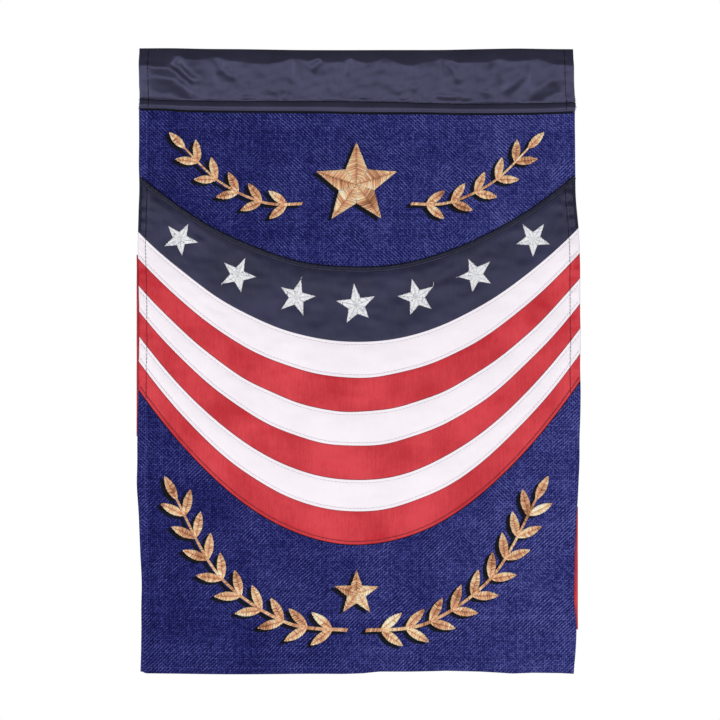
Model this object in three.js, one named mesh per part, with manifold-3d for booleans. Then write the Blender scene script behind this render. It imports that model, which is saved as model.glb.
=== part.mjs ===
// A double-layer garden flag, hung from the rod pocket along its top: two burlap layers, a folded
// rod sleeve, and bands, stars and leafy motifs sewn on them.
// Millimetres, +Z up, the front facing -Y. The origin is the middle of the sleeve's top fold.
import * as THREE from "three";
import { mergeVertices } from "three/addons/utils/BufferGeometryUtils.js";
import Module from "manifold-3d";

const wasm = await Module();
wasm.setup();

// Driving dimensions
const WIDTH = 317.5;
const HEIGHT = 457.2;
const CLOTH = 1.0; // thickness of one layer of cloth
const THREAD = 0.8; // how far embroidery stands up
const GAP = 0.3; // between one layer and the next
const HALF_GAP = GAP / 2;
const POCKET_DEPTH = 38.1; // lay-flat depth of the rod pocket, down to its stitch line
const TAIL_END = -44.5; // lower edge of the sleeve's two tails
const POCKET_RADIUS = 5.5; // of the sleeve's rounded top, outside

// Depth of each level of cloth, from the plane between the two burlap layers
const LEVELS = {
  frontPanel: { near: HALF_GAP + CLOTH, thick: CLOTH, side: -1 },
  frontPatch: { near: HALF_GAP + 2 * CLOTH + GAP, thick: CLOTH, side: -1 },
  frontOverlay: { near: HALF_GAP + 3 * CLOTH + 2 * GAP, thick: CLOTH, side: -1 },
  panelThread: { near: HALF_GAP + CLOTH + GAP + THREAD, thick: THREAD, side: -1 },
  patchThread: { near: HALF_GAP + 2 * CLOTH + 2 * GAP + THREAD, thick: THREAD, side: -1 },
  backPanel: { near: HALF_GAP + CLOTH, thick: CLOTH, side: 1 },
  backPatch: { near: HALF_GAP + 2 * CLOTH + GAP, thick: CLOTH, side: 1 },
};

// Down both sides of the front layer: how far the left and right edges stand out past half the
// width, at each height
const SIDES = [
  { z: -38.9, left: 0.2, right: 0.4 },
  { z: -102, left: 0.5, right: 1.4 },
  { z: -122, left: 0.8, right: 2.5 },
  { z: -139, left: 1.1, right: 3.9 },
  { z: -155, left: 1.0, right: 4.6 },
  { z: -200, left: 0.5, right: 4.8 },
  { z: -253, left: 0.7, right: 5.0 },
  { z: -289, left: 1.4, right: 4.6 },
  { z: -315, left: 1.8, right: 3.4 },
  { z: -344, left: 0.4, right: 2.0 },
  { z: -377, left: -1.1, right: 0.7 },
  { z: -402, left: -1.2, right: 0.0 },
  { z: -424, left: -1.2, right: 2.1 },
  { z: -440, left: -1.1, right: 1.5 },
  { z: -453, left: -0.6, right: 0.1 },
];

// Along the lower edge from left to right: how far it rides up from the full height
const HEM = [
  { x: -155, up: 0.8 },
  { x: -110, up: 0.3 },
  { x: -10, up: 0.5 },
  { x: 14, up: 2.1 },
  { x: 66, up: 2.9 },
  { x: 108, up: 0.8 },
  { x: 140, up: 1.4 },
  { x: 157, up: 1.0 },
];

// Soft swells of the hanging cloth: centre, reach across and along, lean from upright in degrees,
// and depth, negative towards the viewer
const SWELLS = [
  { x: -98, z: -405, across: 36, along: 120, lean: 5, depth: -2.6 },
  { x: -26, z: -425, across: 32, along: 105, lean: -6, depth: 2.2 },
  { x: 50, z: -400, across: 34, along: 130, lean: 9, depth: -3.0 },
  { x: 120, z: -385, across: 30, along: 110, lean: -4, depth: 2.4 },
  { x: -118, z: -190, across: 34, along: 80, lean: 24, depth: 1.4 },
  { x: 18, z: -235, across: 62, along: 60, lean: 0, depth: -1.8 },
  { x: 108, z: -215, across: 36, along: 72, lean: -28, depth: 1.6 },
  { x: -62, z: -110, across: 34, along: 42, lean: 12, depth: 0.9 },
];
const SWELL_TOP = -60; // the cloth is flat above this, where the sleeve grips it
const SWELL_FULL = -150;

// Slack of the sleeve along its length: height of its top fold, and its fullness
const SLEEVE_STATIONS = [
  { x: -158.9, top: 1.2, full: 0.86 },
  { x: -135, top: 1.4, full: 0.95 },
  { x: -112, top: 0.8, full: 1.06 },
  { x: -80, top: 0.6, full: 0.96 },
  { x: -45, top: 0.0, full: 1.08 },
  { x: -10, top: -0.1, full: 0.97 },
  { x: 22, top: 0.0, full: 1.06 },
  { x: 62, top: 0.0, full: 0.98 },
  { x: 88, top: 0.6, full: 1.07 },
  { x: 118, top: 1.2, full: 0.96 },
  { x: 140, top: 0.7, full: 1.02 },
  { x: 158.9, top: 0.6, full: 0.88 },
];

// Seams of the swag, from its top down: height at the side edges and at the middle
const SWAG_REACH = 165;
const SEAMS = {
  top: { side: -88, centre: -160 },
  navy: { side: -128, centre: -214 },
  firstRed: { side: -147, centre: -240 },
  secondWhite: { side: -166, centre: -265 },
  secondRed: { side: -184, centre: -290 },
  thirdWhite: { side: -202, centre: -315 },
  thirdRed: { side: -220, centre: -338 },
  bottom: { side: -240, centre: -362 },
};
const UNDERLAP = 5; // how far the navy cloth runs under the first white band

// The band behind: heights of its upper and lower edge at the left and right ends, as seen from
// the front, and how far its two ends stand out past the burlap
const BACK_BAND = {
  upper: { left: -150, right: -335 },
  lower: { left: -283, right: -425 },
  out: 161.7,
};
const BACK_INSET = 0.5; // the burlap behind is cut this much narrower

// Embroidered stars, along the middle of the navy band
const STAR_XS = [-129, -87, -44, 0, 44, 87, 129];
const STAR_RADIUS = { side: 12.0, centre: 14.5 };
const STAR_WAIST = 0.42; // inner radius as a share of the outer
const BARN_STAR = { x: 0, z: -99, radius: 31, waist: 0.44 };
const WREATH_STAR = { x: 0, z: -398, radius: 17, waist: 0.42 };

// Leafy stems of the left side; the right side mirrors them
const SPRIG = {
  route: [[-40, -113], [-68, -112], [-100, -97], [-126, -72]],
  pairs: 5,
  leaf: { length: 17, width: 6.0, angle: 38 },
  stem: 2.0,
};
const BRANCH = {
  route: [[-7, -425], [-52, -419], [-100, -385], [-132, -328]],
  pairs: 9,
  leaf: { length: 20, width: 6.6, angle: 38 },
  stem: 2.4,
};
const LEAF_BELLY = 0.45; // where a leaf is widest, as a share of its length
const STEM_TAPER = 0.4; // share of a stem's width that is gone at its tip
const BARE_FOOT = 0.6; // bare stem before the first pair, as a share of the way between pairs

const COLOURS = {
  burlap: 0x272a6b,
  navy: 0x3d3e56,
  red: 0xc43a44,
  white: 0xf1edf4,
  gold: 0xd2a06a,
  silver: 0xe4e4ee,
};

const flag = new THREE.Group();

function material(name, roughness) {
  return new THREE.MeshStandardMaterial({ color: COLOURS[name], roughness, metalness: 0 });
}
const burlap = material("burlap", 0.95);
const navyTaffeta = material("navy", 0.55);
const redTaffeta = material("red", 0.6);
const whiteTaffeta = material("white", 0.6);
const goldThread = material("gold", 0.45);
const silverThread = material("silver", 0.45);

function addPiece(name, geometry, finish) {
  const mesh = new THREE.Mesh(geometry, finish);
  mesh.name = name;
  flag.add(mesh);
}

// Value of one column of a table at a place between its rows
function between(rows, key, at, column) {
  const rising = rows[0][key] < rows[rows.length - 1][key];
  const sorted = rising ? rows : [...rows].reverse();
  const next = sorted.findIndex((row) => row[key] >= at);
  if (next === 0) return sorted[0][column];
  if (next < 0) return sorted[sorted.length - 1][column];
  const [a, b] = [sorted[next - 1], sorted[next]];
  return THREE.MathUtils.mapLinear(at, a[key], b[key], a[column], b[column]);
}

// How far the cloth stands back from its flat plane at a point
function drape(x, z) {
  const held = 1 - THREE.MathUtils.smoothstep(z, SWELL_FULL, SWELL_TOP);
  return SWELLS.reduce((depth, swell) => {
    const lean = THREE.MathUtils.degToRad(swell.lean);
    const [dx, dz] = [x - swell.x, z - swell.z];
    const across = (dx * Math.cos(lean) + dz * Math.sin(lean)) / swell.across;
    const along = (dz * Math.cos(lean) - dx * Math.sin(lean)) / swell.along;
    return depth + held * swell.depth * Math.exp(-across * across - along * along);
  }, 0);
}

// manifold-3d joins and cuts: to a solid and back
function toSolid(geometry) {
  const bare = geometry.clone();
  bare.deleteAttribute("normal");
  bare.deleteAttribute("uv");
  const merged = mergeVertices(bare, 1e-4);
  return new wasm.Manifold(
    new wasm.Mesh({
      numProp: 3,
      vertProperties: merged.attributes.position.array,
      triVerts: new Uint32Array(merged.index.array),
    }),
  );
}

function toGeometry(solid) {
  const mesh = solid.getMesh();
  const geometry = new THREE.BufferGeometry();
  geometry.setAttribute("position", new THREE.BufferAttribute(mesh.vertProperties, 3));
  geometry.setIndex(new THREE.BufferAttribute(mesh.triVerts, 1));
  geometry.computeVertexNormals();
  return geometry;
}

// One whole level of draped cloth. Every level has the same facets, so two levels keep their gap.
const LATTICE = { wide: 340, low: -463, high: -30, across: 14, down: 18 };
function levelSheet(level) {
  const { wide, low, high, across, down } = LATTICE;
  const sheet = new THREE.BoxGeometry(wide, level.thick, high - low, across, 1, down);
  sheet.translate(0, level.side * (level.near - level.thick / 2), (high + low) / 2);
  const place = sheet.attributes.position;
  for (let i = 0; i < place.count; i++)
    place.setY(i, place.getY(i) + drape(place.getX(i), place.getZ(i)));
  return toSolid(sheet);
}
const sheets = Object.fromEntries(
  Object.entries(LEVELS).map(([name, level]) => [name, levelSheet(level)]),
);

// An outline drawn in x and z, run through the cloth from front to back
const THROUGH = 40;
const SEAM_STEPS = 14;
function cutter(shape, curveSegments = SEAM_STEPS) {
  const prism = new THREE.ExtrudeGeometry(shape, {
    depth: THROUGH,
    bevelEnabled: false,
    curveSegments,
  });
  prism.rotateX(Math.PI / 2);
  prism.translate(0, THROUGH / 2, 0);
  return toSolid(prism);
}

function polygon(points) {
  return new THREE.Shape(points.map(([x, z]) => new THREE.Vector2(x, z)));
}

// Outline of a burlap layer, drawn in from the front layer's edges by an inset
function panelShape(inset) {
  const half = WIDTH / 2 - inset;
  return polygon([
    ...SIDES.map((row) => [-half - row.left, row.z]),
    ...HEM.map((row) => [row.x, -HEIGHT + row.up + inset]),
    ...[...SIDES].reverse().map((row) => [half + row.right, row.z]),
  ]);
}
const frontOutline = cutter(panelShape(0));
const backOutline = cutter(panelShape(BACK_INSET));
const patchOutline = cutter(panelShape(GAP));

addPiece("panel_front", toGeometry(sheets.frontPanel.intersect(frontOutline)), burlap);
addPiece("panel_back", toGeometry(sheets.backPanel.intersect(backOutline)), burlap);

// Section of the sleeve, in y and z: a teardrop pocket over two tails that straddle the burlap
const SLOT = { half: HALF_GAP + CLOTH + GAP, top: -POCKET_DEPTH - CLOTH / 2 };
const TAIL_HALF = SLOT.half + CLOTH;
const WALL_STEPS = 4;
const WALL_CURVE = 1.3; // over 1, a wall draws in faster near the top

// Half thickness of the teardrop at a height, where the rounded top has a given radius
function teardropHalf(z, radius, foot, floor) {
  const down = (-POCKET_RADIUS - z) / (-POCKET_RADIUS - floor);
  return foot + (radius - foot) * (1 - down) ** WALL_CURVE;
}

// One wall of the teardrop, from its foot up to where the rounded top starts
function teardropWall(radius, foot, floor) {
  return Array.from({ length: WALL_STEPS }, (_, i) => {
    const z = THREE.MathUtils.lerp(floor, -POCKET_RADIUS, i / WALL_STEPS);
    return [teardropHalf(z, radius, foot, floor), z];
  });
}

// Up the wall behind, over the top and down the wall in front
function traceTeardrop(path, radius, foot, floor) {
  const wall = teardropWall(radius, foot, floor);
  wall.forEach(([half, z]) => path.lineTo(half, z));
  path.absarc(0, -POCKET_RADIUS, radius, 0, Math.PI, false);
  wall.reverse().forEach(([half, z]) => path.lineTo(-half, z));
}

function sleeveShape() {
  const shape = new THREE.Shape();
  shape.moveTo(SLOT.half, TAIL_END);
  shape.lineTo(TAIL_HALF, TAIL_END);
  traceTeardrop(shape, POCKET_RADIUS, TAIL_HALF, -POCKET_DEPTH);
  shape.lineTo(-TAIL_HALF, TAIL_END);
  shape.lineTo(-SLOT.half, TAIL_END);
  shape.lineTo(-SLOT.half, SLOT.top);
  shape.lineTo(SLOT.half, SLOT.top);
  shape.closePath();
  const pocket = new THREE.Path();
  const floor = SLOT.top + CLOTH;
  pocket.moveTo(SLOT.half, floor);
  traceTeardrop(pocket, POCKET_RADIUS - CLOTH, SLOT.half, floor);
  pocket.closePath();
  shape.holes.push(pocket);
  return shape;
}

// The sleeve runs from side to side, fuller and slacker as its table says
const SLEEVE_CELLS = { along: 16, around: 4 };
function sleeve() {
  const [first, last] = [SLEEVE_STATIONS[0], SLEEVE_STATIONS[SLEEVE_STATIONS.length - 1]];
  const body = new THREE.ExtrudeGeometry(sleeveShape(), {
    depth: last.x - first.x,
    steps: SLEEVE_CELLS.along,
    bevelEnabled: false,
    curveSegments: SLEEVE_CELLS.around,
  });
  body.applyMatrix4(
    new THREE.Matrix4().makeBasis(
      new THREE.Vector3(0, 1, 0),
      new THREE.Vector3(0, 0, 1),
      new THREE.Vector3(1, 0, 0),
    ),
  );
  body.translate(first.x, 0, 0);
  const place = body.attributes.position;
  for (let i = 0; i < place.count; i++) {
    const [x, y, z] = [place.getX(i), place.getY(i), place.getZ(i)];
    const up = Math.max(0, 1 + z / POCKET_DEPTH);
    const full = between(SLEEVE_STATIONS, "x", x, "full");
    place.setY(i, y * THREE.MathUtils.lerp(1, full, Math.sqrt(up)));
    place.setZ(i, z + up * between(SLEEVE_STATIONS, "x", x, "top"));
  }
  return body;
}
addPiece("rod_sleeve", sleeve(), navyTaffeta);

// A band between two seams. A seam is a parabola, so one quadratic curve draws it.
function bandShape(upper, lower) {
  const shape = new THREE.Shape();
  shape.moveTo(-SWAG_REACH, upper.side);
  shape.quadraticCurveTo(0, 2 * upper.centre - upper.side, SWAG_REACH, upper.side);
  shape.lineTo(SWAG_REACH, lower.side);
  shape.quadraticCurveTo(0, 2 * lower.centre - lower.side, -SWAG_REACH, lower.side);
  shape.closePath();
  return shape;
}

function lowered(seam, by) {
  return { side: seam.side - by, centre: seam.centre - by };
}

function seamHeight(seam, x) {
  return seam.centre + (seam.side - seam.centre) * (x / SWAG_REACH) ** 2;
}

function addBand(name, level, upper, lower, finish) {
  const band = sheets[level].intersect(cutter(bandShape(upper, lower))).intersect(patchOutline);
  addPiece(name, toGeometry(band), finish);
}
const navyEnd = lowered(SEAMS.navy, UNDERLAP);
addBand("navy_band", "frontPatch", SEAMS.top, navyEnd, navyTaffeta);
addBand("red_ground", "frontPatch", lowered(navyEnd, GAP), SEAMS.bottom, redTaffeta);
addBand("white_band_1", "frontOverlay", SEAMS.navy, SEAMS.firstRed, whiteTaffeta);
addBand("white_band_2", "frontOverlay", SEAMS.secondWhite, SEAMS.secondRed, whiteTaffeta);
addBand("white_band_3", "frontOverlay", SEAMS.thirdWhite, SEAMS.thirdRed, whiteTaffeta);

// The band sewn on the layer behind, whose two ends show past the front layer
const backBand = polygon([
  [-BACK_BAND.out, BACK_BAND.upper.left],
  [-BACK_BAND.out, BACK_BAND.lower.left],
  [BACK_BAND.out, BACK_BAND.lower.right],
  [BACK_BAND.out, BACK_BAND.upper.right],
]);
addPiece("red_back_band", toGeometry(sheets.backPatch.intersect(cutter(backBand))), redTaffeta);

// Embroidery
const STAR_POINTS = 5;
function starShape({ x, z, radius, waist, turn }) {
  return polygon(
    Array.from({ length: 2 * STAR_POINTS }, (_, i) => {
      const angle = turn + (i * Math.PI) / STAR_POINTS;
      const reach = i % 2 ? radius * waist : radius;
      return [x + reach * Math.sin(angle), z + reach * Math.cos(angle)];
    }),
  );
}

// Each small star leans with the band, and is smaller towards the sides
STAR_XS.forEach((x, i) => {
  const [upper, lower] = [SEAMS.top, SEAMS.navy];
  const middle = (at) => (seamHeight(upper, at) + seamHeight(lower, at)) / 2;
  const star = starShape({
    x,
    z: middle(x),
    radius: THREE.MathUtils.lerp(STAR_RADIUS.centre, STAR_RADIUS.side, Math.abs(x) / SWAG_REACH),
    waist: STAR_WAIST,
    turn: -Math.atan(middle(x + 1) - middle(x)),
  });
  addPiece(`star_${i + 1}`, toGeometry(sheets.patchThread.intersect(cutter(star))), silverThread);
});

Object.entries({ barn_star: BARN_STAR, wreath_star: WREATH_STAR }).forEach(([name, design]) => {
  const star = cutter(starShape({ ...design, turn: 0 }));
  addPiece(name, toGeometry(sheets.panelThread.intersect(star)), goldThread);
});

// A leafy stem: a tapering stem with pairs of leaves, and one leaf at its end
const STEM_STEPS = 9;
const LEAF_STEPS = 3;
const TIP_LEAF = 0.99; // the last leaf grows out of the stem's very end
const MIRROR = { left: 1, right: -1 };
function leafShape(base, direction, leaf) {
  const side = direction.clone().rotateAround(new THREE.Vector2(), Math.PI / 2);
  const tip = base.clone().addScaledVector(direction, leaf.length);
  const belly = base.clone().addScaledVector(direction, leaf.length * LEAF_BELLY);
  const shape = new THREE.Shape();
  shape.moveTo(base.x, base.y);
  [1, -1].forEach((way) => {
    const bulge = belly.clone().addScaledVector(side, way * leaf.width);
    const end = way > 0 ? tip : base;
    shape.quadraticCurveTo(bulge.x, bulge.y, end.x, end.y);
  });
  return shape;
}

function leafyStem(design, mirror) {
  const route = new THREE.SplineCurve(
    design.route.map(([x, z]) => new THREE.Vector2(mirror * x, z)),
  );
  const rail = (way) =>
    Array.from({ length: STEM_STEPS + 1 }, (_, i) => {
      const t = i / STEM_STEPS;
      const half = (design.stem / 2) * (1 - STEM_TAPER * t);
      const across = route.getTangentAt(t).rotateAround(new THREE.Vector2(), (way * Math.PI) / 2);
      const point = route.getPointAt(t).addScaledVector(across, half);
      return [point.x, point.y];
    });
  let solid = cutter(polygon([...rail(1), ...rail(-1).reverse()]));
  const addLeaf = (t, turn) => {
    const direction = route.getTangentAt(t).rotateAround(new THREE.Vector2(), turn);
    solid = solid.add(cutter(leafShape(route.getPointAt(t), direction, design.leaf), LEAF_STEPS));
  };
  const angle = THREE.MathUtils.degToRad(design.leaf.angle);
  for (let i = 0; i < design.pairs; i++) {
    const t = (i + BARE_FOOT) / (design.pairs + 1 - BARE_FOOT);
    [angle, -angle].forEach((turn) => addLeaf(t, turn));
  }
  addLeaf(TIP_LEAF, 0);
  return solid;
}

Object.entries(MIRROR).forEach(([side, mirror]) => {
  [["sprig", SPRIG], ["branch", BRANCH]].forEach(([name, design]) => {
    const stem = sheets.panelThread.intersect(leafyStem(design, mirror));
    addPiece(`${name}_${side}`, toGeometry(stem), goldThread);
  });
});

export default flag;
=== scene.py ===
"""A double-layer burlap garden flag, hung by the rod sleeve along its top.

Sizes and places are millimetres in the part's frame: x to the right as seen from the front, z up, and
y away from the viewer. Meshes are built in metres.
"""

import math

import bpy
import numpy as np
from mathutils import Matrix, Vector


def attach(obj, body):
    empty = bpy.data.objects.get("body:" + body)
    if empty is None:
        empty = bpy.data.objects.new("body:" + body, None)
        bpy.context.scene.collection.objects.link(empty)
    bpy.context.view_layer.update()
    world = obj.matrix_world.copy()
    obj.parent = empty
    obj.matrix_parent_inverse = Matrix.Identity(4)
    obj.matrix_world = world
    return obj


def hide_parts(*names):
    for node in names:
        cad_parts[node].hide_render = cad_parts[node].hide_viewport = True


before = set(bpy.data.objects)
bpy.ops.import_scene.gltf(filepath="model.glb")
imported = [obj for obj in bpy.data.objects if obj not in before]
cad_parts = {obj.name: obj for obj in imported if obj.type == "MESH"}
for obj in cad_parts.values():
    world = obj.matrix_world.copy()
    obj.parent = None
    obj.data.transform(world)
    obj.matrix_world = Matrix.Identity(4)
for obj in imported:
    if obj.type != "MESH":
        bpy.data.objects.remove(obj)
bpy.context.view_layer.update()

MM = 0.001
RNG = np.random.default_rng(1218)

# Driving sizes of the flag, and the heights of its seam, of its sleeve's foot and of its panels' top
WIDTH = 317.5
HEIGHT = 457.2
STITCH_LINE = -38.1
SLEEVE_FOOT = -45.6
PANEL_TOP = -41.2

# How far each side edge stands out past half the width. A table's blur rounds off its corners.
SIDES = {
    "blur": 7,
    "z": [-38.9, -102, -122, -139, -155, -200, -253, -289, -315, -344, -377, -402, -424, -440, -453],
    "left": [0.3, 0.7, 1.0, 1.4, 1.2, 0.6, 0.8, 1.9, 2.3, 0.8, -1.0, -1.2, -1.2, -1.1, -0.6],
    "right": [0.7, 1.5, 2.9, 4.4, 4.5, 5.0, 5.1, 4.5, 4.1, 2.3, 0.7, 0.0, 2.4, 1.7, 0.3],
}

# How far the lower edge rides up from the full height
HEM = {
    "blur": 1.0,
    "x": [-160, -156.4, -155.2, -110, -54, -10, 4, 16, 38, 66, 90, 114, 129, 149, 158, 161],
    "up": [2.1, 1.9, 0.6, 0.3, 0.0, -0.1, 0.5, 1.9, 2.1, 2.8, 1.9, 0.2, 0.8, 0.7, 0.3, 0.3],
}

# Soft swells of the hanging cloth: x and z of the middle, reach across and along, lean in degrees, and
# depth, which is negative towards the viewer. They fade out between two heights under the sleeve.
SWELLS = [
    (-98, -405, 36, 120, 5, -2.6),
    (-26, -425, 32, 105, -6, 2.2),
    (50, -400, 34, 130, 9, -3.0),
    (120, -385, 30, 110, -4, 2.4),
    (-118, -190, 34, 80, 24, 1.4),
    (18, -235, 62, 60, 0, -1.8),
    (108, -215, 36, 72, -28, 1.6),
    (-62, -110, 34, 42, 12, 0.9),
]
SWELL_TOP = -60
SWELL_FULL = -150

# Topstitches: their distance from a cloth's edge, their pitch, and the share of a thread that is sunk
EDGE_TO_STITCH = 2.1
STITCH_PITCH = 2.7
STITCH_SINK = 0.25

# Seams of the swag: height at the side edges and at the middle, and how far above it stitches run
SWAG_REACH = 165
SEAMS = {
    "top": (-88, -160, -3.3),
    "navy": (-128, -214, -EDGE_TO_STITCH),
    "first_red": (-147, -240, EDGE_TO_STITCH),
    "second_white": (-166, -265, -EDGE_TO_STITCH),
    "second_red": (-184, -290, EDGE_TO_STITCH),
    "third_white": (-202, -315, -EDGE_TO_STITCH),
    "third_red": (-220, -338, EDGE_TO_STITCH),
    "bottom": (-240, -362, EDGE_TO_STITCH),
}
UNDERLAP = 5
WHITE_BANDS = {
    "white_band_1": ("navy", "first_red"),
    "white_band_2": ("second_white", "second_red"),
    "white_band_3": ("third_white", "third_red"),
}

# Cloth levels: how far the face of each lies in front of the mid-plane, and its thickness
BURLAP = {"near": 1.15, "thick": 0.9}
PATCH = {"near": 2.05, "thick": 0.55}
OVERLAY = {"near": 2.75, "thick": 0.5}

# Stitch lines of the side and bottom hems, the hems' rise, and how the folded edges curve away
LEFT_HEM = 5.9
RIGHT_HEM = 7.6
BOTTOM_HEM = 11.5
BOTTOM_TOPSTITCH = 4.8
HEM_RAISE = 0.5
EDGE_ROLL = {"wide": 2.6, "deep": 1.0}

# How far edges and seams wander, as cut and sewn by hand
EDGE_WANDER = 0.25
SEAM_WANDER = 0.35
SLEEVE_WANDER = 0.09

# The groove that stitches draw into a cloth, and the ripples of the cloth beside them
GROOVE_REACH = 0.75
HEM_GROOVE = 0.38
HEM_RIPPLE = 0.26
PATCH_GROOVE = 0.16
PATCH_RIPPLE = 0.24

# Slack of the thin cloths: its mean, its broad and small unevenness, the hems' ribs and how sharply it
# stops at nothing. Then how firmly rows of stitches, hems and stars hold those cloths, and how far off.
SLACK = {"mean": 0.42, "broad": 0.33, "small": 0.14, "ribs": 0.2, "sharpness": 6}
HOLD = {"row": 0.92, "row_reach": 3.2, "hem": 0.9, "hem_reach": 3.0, "rib_reach": 9, "star": 0.85}


def smooth(t):
    """Eased step from 0 to 1."""
    t = np.clip(t, 0, 1)
    return t * t * (3 - 2 * t)


def bell(distance, reach):
    """1 at no distance, and next to nothing past twice the reach."""
    return np.exp(-((distance / reach) ** 2))


def smooth_table(table, along, column):
    """A rounded curve through a table's column: its straight lines, blurred over a distance."""
    spread = table["blur"]
    order = np.argsort(table[along])
    keys, values = (np.asarray(table[name], float)[order] for name in (along, column))
    fine = np.arange(keys[0] - 4 * spread, keys[-1] + 4 * spread, 0.5)
    reach = np.arange(-3 * spread, 3 * spread + 0.5, 0.5)
    weight = bell(reach, spread)
    padded = np.interp(np.arange(fine[0] + reach[0], fine[-1] + reach[-1] + 0.5, 0.5), keys, values)
    blurred = np.convolve(padded, weight / weight.sum(), mode="valid")
    size = min(len(fine), len(blurred))
    return lambda at: np.interp(at, fine[:size], blurred[:size])


def waves(seed, shortest, longest, lean=None, count=9):
    """A smooth random field about -1 to 1, made of sine waves of a range of lengths."""
    rng = np.random.default_rng(seed)
    length = np.exp(rng.uniform(math.log(shortest), math.log(longest), count))
    angle = rng.uniform(0, math.pi, count) if lean is None else rng.normal(lean, 0.35, count)
    phase = rng.uniform(0, 2 * math.pi, count)
    weight = np.sqrt(length / length.max())
    weight /= np.sqrt((weight**2).sum() / 2) * 1.6

    def field(x, z=0.0):
        total = 0.0
        for size, turn, start, share in zip(length, angle, phase, weight):
            run = x * math.cos(turn) + z * math.sin(turn)
            total = total + share * np.sin(2 * math.pi * run / size + start)
        return total

    return field


left_out = smooth_table(SIDES, "z", "left")
right_out = smooth_table(SIDES, "z", "right")
hem_up = smooth_table(HEM, "x", "up")
edge_waver = waves(3, 25, 70)
seam_waver = {name: waves(40 + i, 34, 90) for i, name in enumerate(SEAMS)}
slack_field = waves(11, 16, 60)
small_slack = waves(12, 7, 15)
pucker_field = waves(13, 4.5, 9, lean=0.15)
hem_pucker = waves(14, 5, 11, lean=math.pi / 2)


def left_edge(z):
    return -WIDTH / 2 - left_out(z) + EDGE_WANDER * edge_waver(z)


def right_edge(z):
    return WIDTH / 2 + right_out(z) + EDGE_WANDER * edge_waver(z + 900)


def hem_height(x):
    return -HEIGHT + hem_up(x)


def drape(x, z):
    """How far the cloth stands back from its flat plane."""
    held = 1 - smooth((z - SWELL_FULL) / (SWELL_TOP - SWELL_FULL))
    depth = 0.0
    for middle_x, middle_z, wide, tall, lean, deep in SWELLS:
        c, s = math.cos(math.radians(lean)), math.sin(math.radians(lean))
        dx, dz = x - middle_x, z - middle_z
        across = (dx * c + dz * s) / wide
        along = (dz * c - dx * s) / tall
        depth = depth + held * deep * np.exp(-(across**2) - along**2)
    return depth


def seam_curve(name, x):
    side, centre, _ = SEAMS[name]
    return centre + (side - centre) * (x / SWAG_REACH) ** 2


def seam_height(name, x):
    """Height of a seam, with its small wander."""
    return seam_curve(name, x) + SEAM_WANDER * seam_waver[name](x)


def seam_cosine(name, x):
    """Cosine of the seam's slope, which turns a height above it into a distance from it."""
    side, centre, _ = SEAMS[name]
    return 1 / np.sqrt(1 + (2 * (side - centre) * x / SWAG_REACH**2) ** 2)


def from_seam(name, x, z):
    """Distance from a seam, positive above it."""
    return (z - seam_height(name, x)) * seam_cosine(name, x)


def swag_line(seam, above=0.0):
    """Heights along a line beside a seam."""
    return lambda x: seam_height(seam, x) + above / seam_cosine(seam, x)


# Creases pressed into the thin cloths: the route from point to point, how far the crease spreads below
# or left of it and then above or right of it, and how far it stands out, which is negative in a trough
CREASES = [
    ([(96, -182), (118, -190), (146, -207)], (2.2, 5.0), -0.9),
    ([(101, -176), (124, -183), (150, -197)], (3.0, 3.0), 0.6),
    ([(72, -262), (92, -257), (114, -246)], (5.0, 2.4), -0.7),
    ([(-124, -188), (-98, -206), (-78, -229)], (2.2, 5.0), -0.8),
    ([(-128, -180), (-100, -197), (-82, -217)], (3.5, 3.0), 0.5),
    ([(-56, -299), (-30, -307), (-6, -309)], (2.4, 5.0), -0.8),
    ([(-48, -292), (-22, -300), (4, -302)], (3.5, 3.5), 0.5),
    ([(20, -353), (44, -346), (66, -336)], (4.2, 2.4), -0.7),
    ([(-98, -300), (-82, -312), (-62, -327)], (2.4, 4.6), -0.7),
    ([(-134, -120), (-120, -131), (-102, -147)], (2.2, 5.5), -0.9),
    ([(54, -173), (72, -163), (94, -150)], (5.0, 2.4), -0.8),
    ([(-22, -181), (-2, -186), (20, -190)], (3.5, 3.5), 0.5),
    ([(116, -242), (130, -234), (146, -221)], (4.5, 2.4), -0.8),
    ([(-32, -251), (-10, -255), (14, -256)], (3.5, 3.5), 0.45),
    ([(126, -118), (136, -131), (142, -150)], (4.0, 2.2), -0.7),
]


def creases(x, z, table):
    """Soft ridges and troughs along bent lines, which fade out at both ends."""
    total = 0.0
    for route, wide, out in table:
        route = np.asarray(route, float)
        steps = route[1:] - route[:-1]
        lengths = np.linalg.norm(steps, axis=1)
        run = np.concatenate([[0], np.cumsum(lengths)])
        nearest = np.full(np.broadcast(x, z).shape, np.inf)
        across, along = np.zeros_like(nearest), np.zeros_like(nearest)
        for (ax, az), (sx, sz), length, gone in zip(route, steps, lengths, run):
            ux, uz = sx / length, sz / length
            ahead = np.clip((x - ax) * ux + (z - az) * uz, 0, length)
            dx, dz = x - ax - ahead * ux, z - az - ahead * uz
            away = np.hypot(dx, dz)
            closer = away < nearest
            side = np.where(dz * ux - dx * uz < 0, -1, 1)
            across = np.where(closer, away * side, across)
            along = np.where(closer, gone + ahead, along)
            nearest = np.where(closer, away, nearest)
        share = along / run[-1]
        fade = smooth((share + 0.05) / 0.35) * smooth((1.05 - share) / 0.35)
        total = total + out * fade * bell(across, np.where(across < 0, wide[0], wide[1]))
    return total


# The small stars of the navy cloth
STAR_XS = [-129, -87, -44, 0, 44, 87, 129]
STAR_RADIUS = {"side": 12.0, "centre": 14.5}
STAR_WAIST = 0.42


def band_middle(x):
    """Height of the navy cloth's middle line."""
    return (seam_curve("top", x) + seam_curve("navy", x)) / 2


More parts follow.
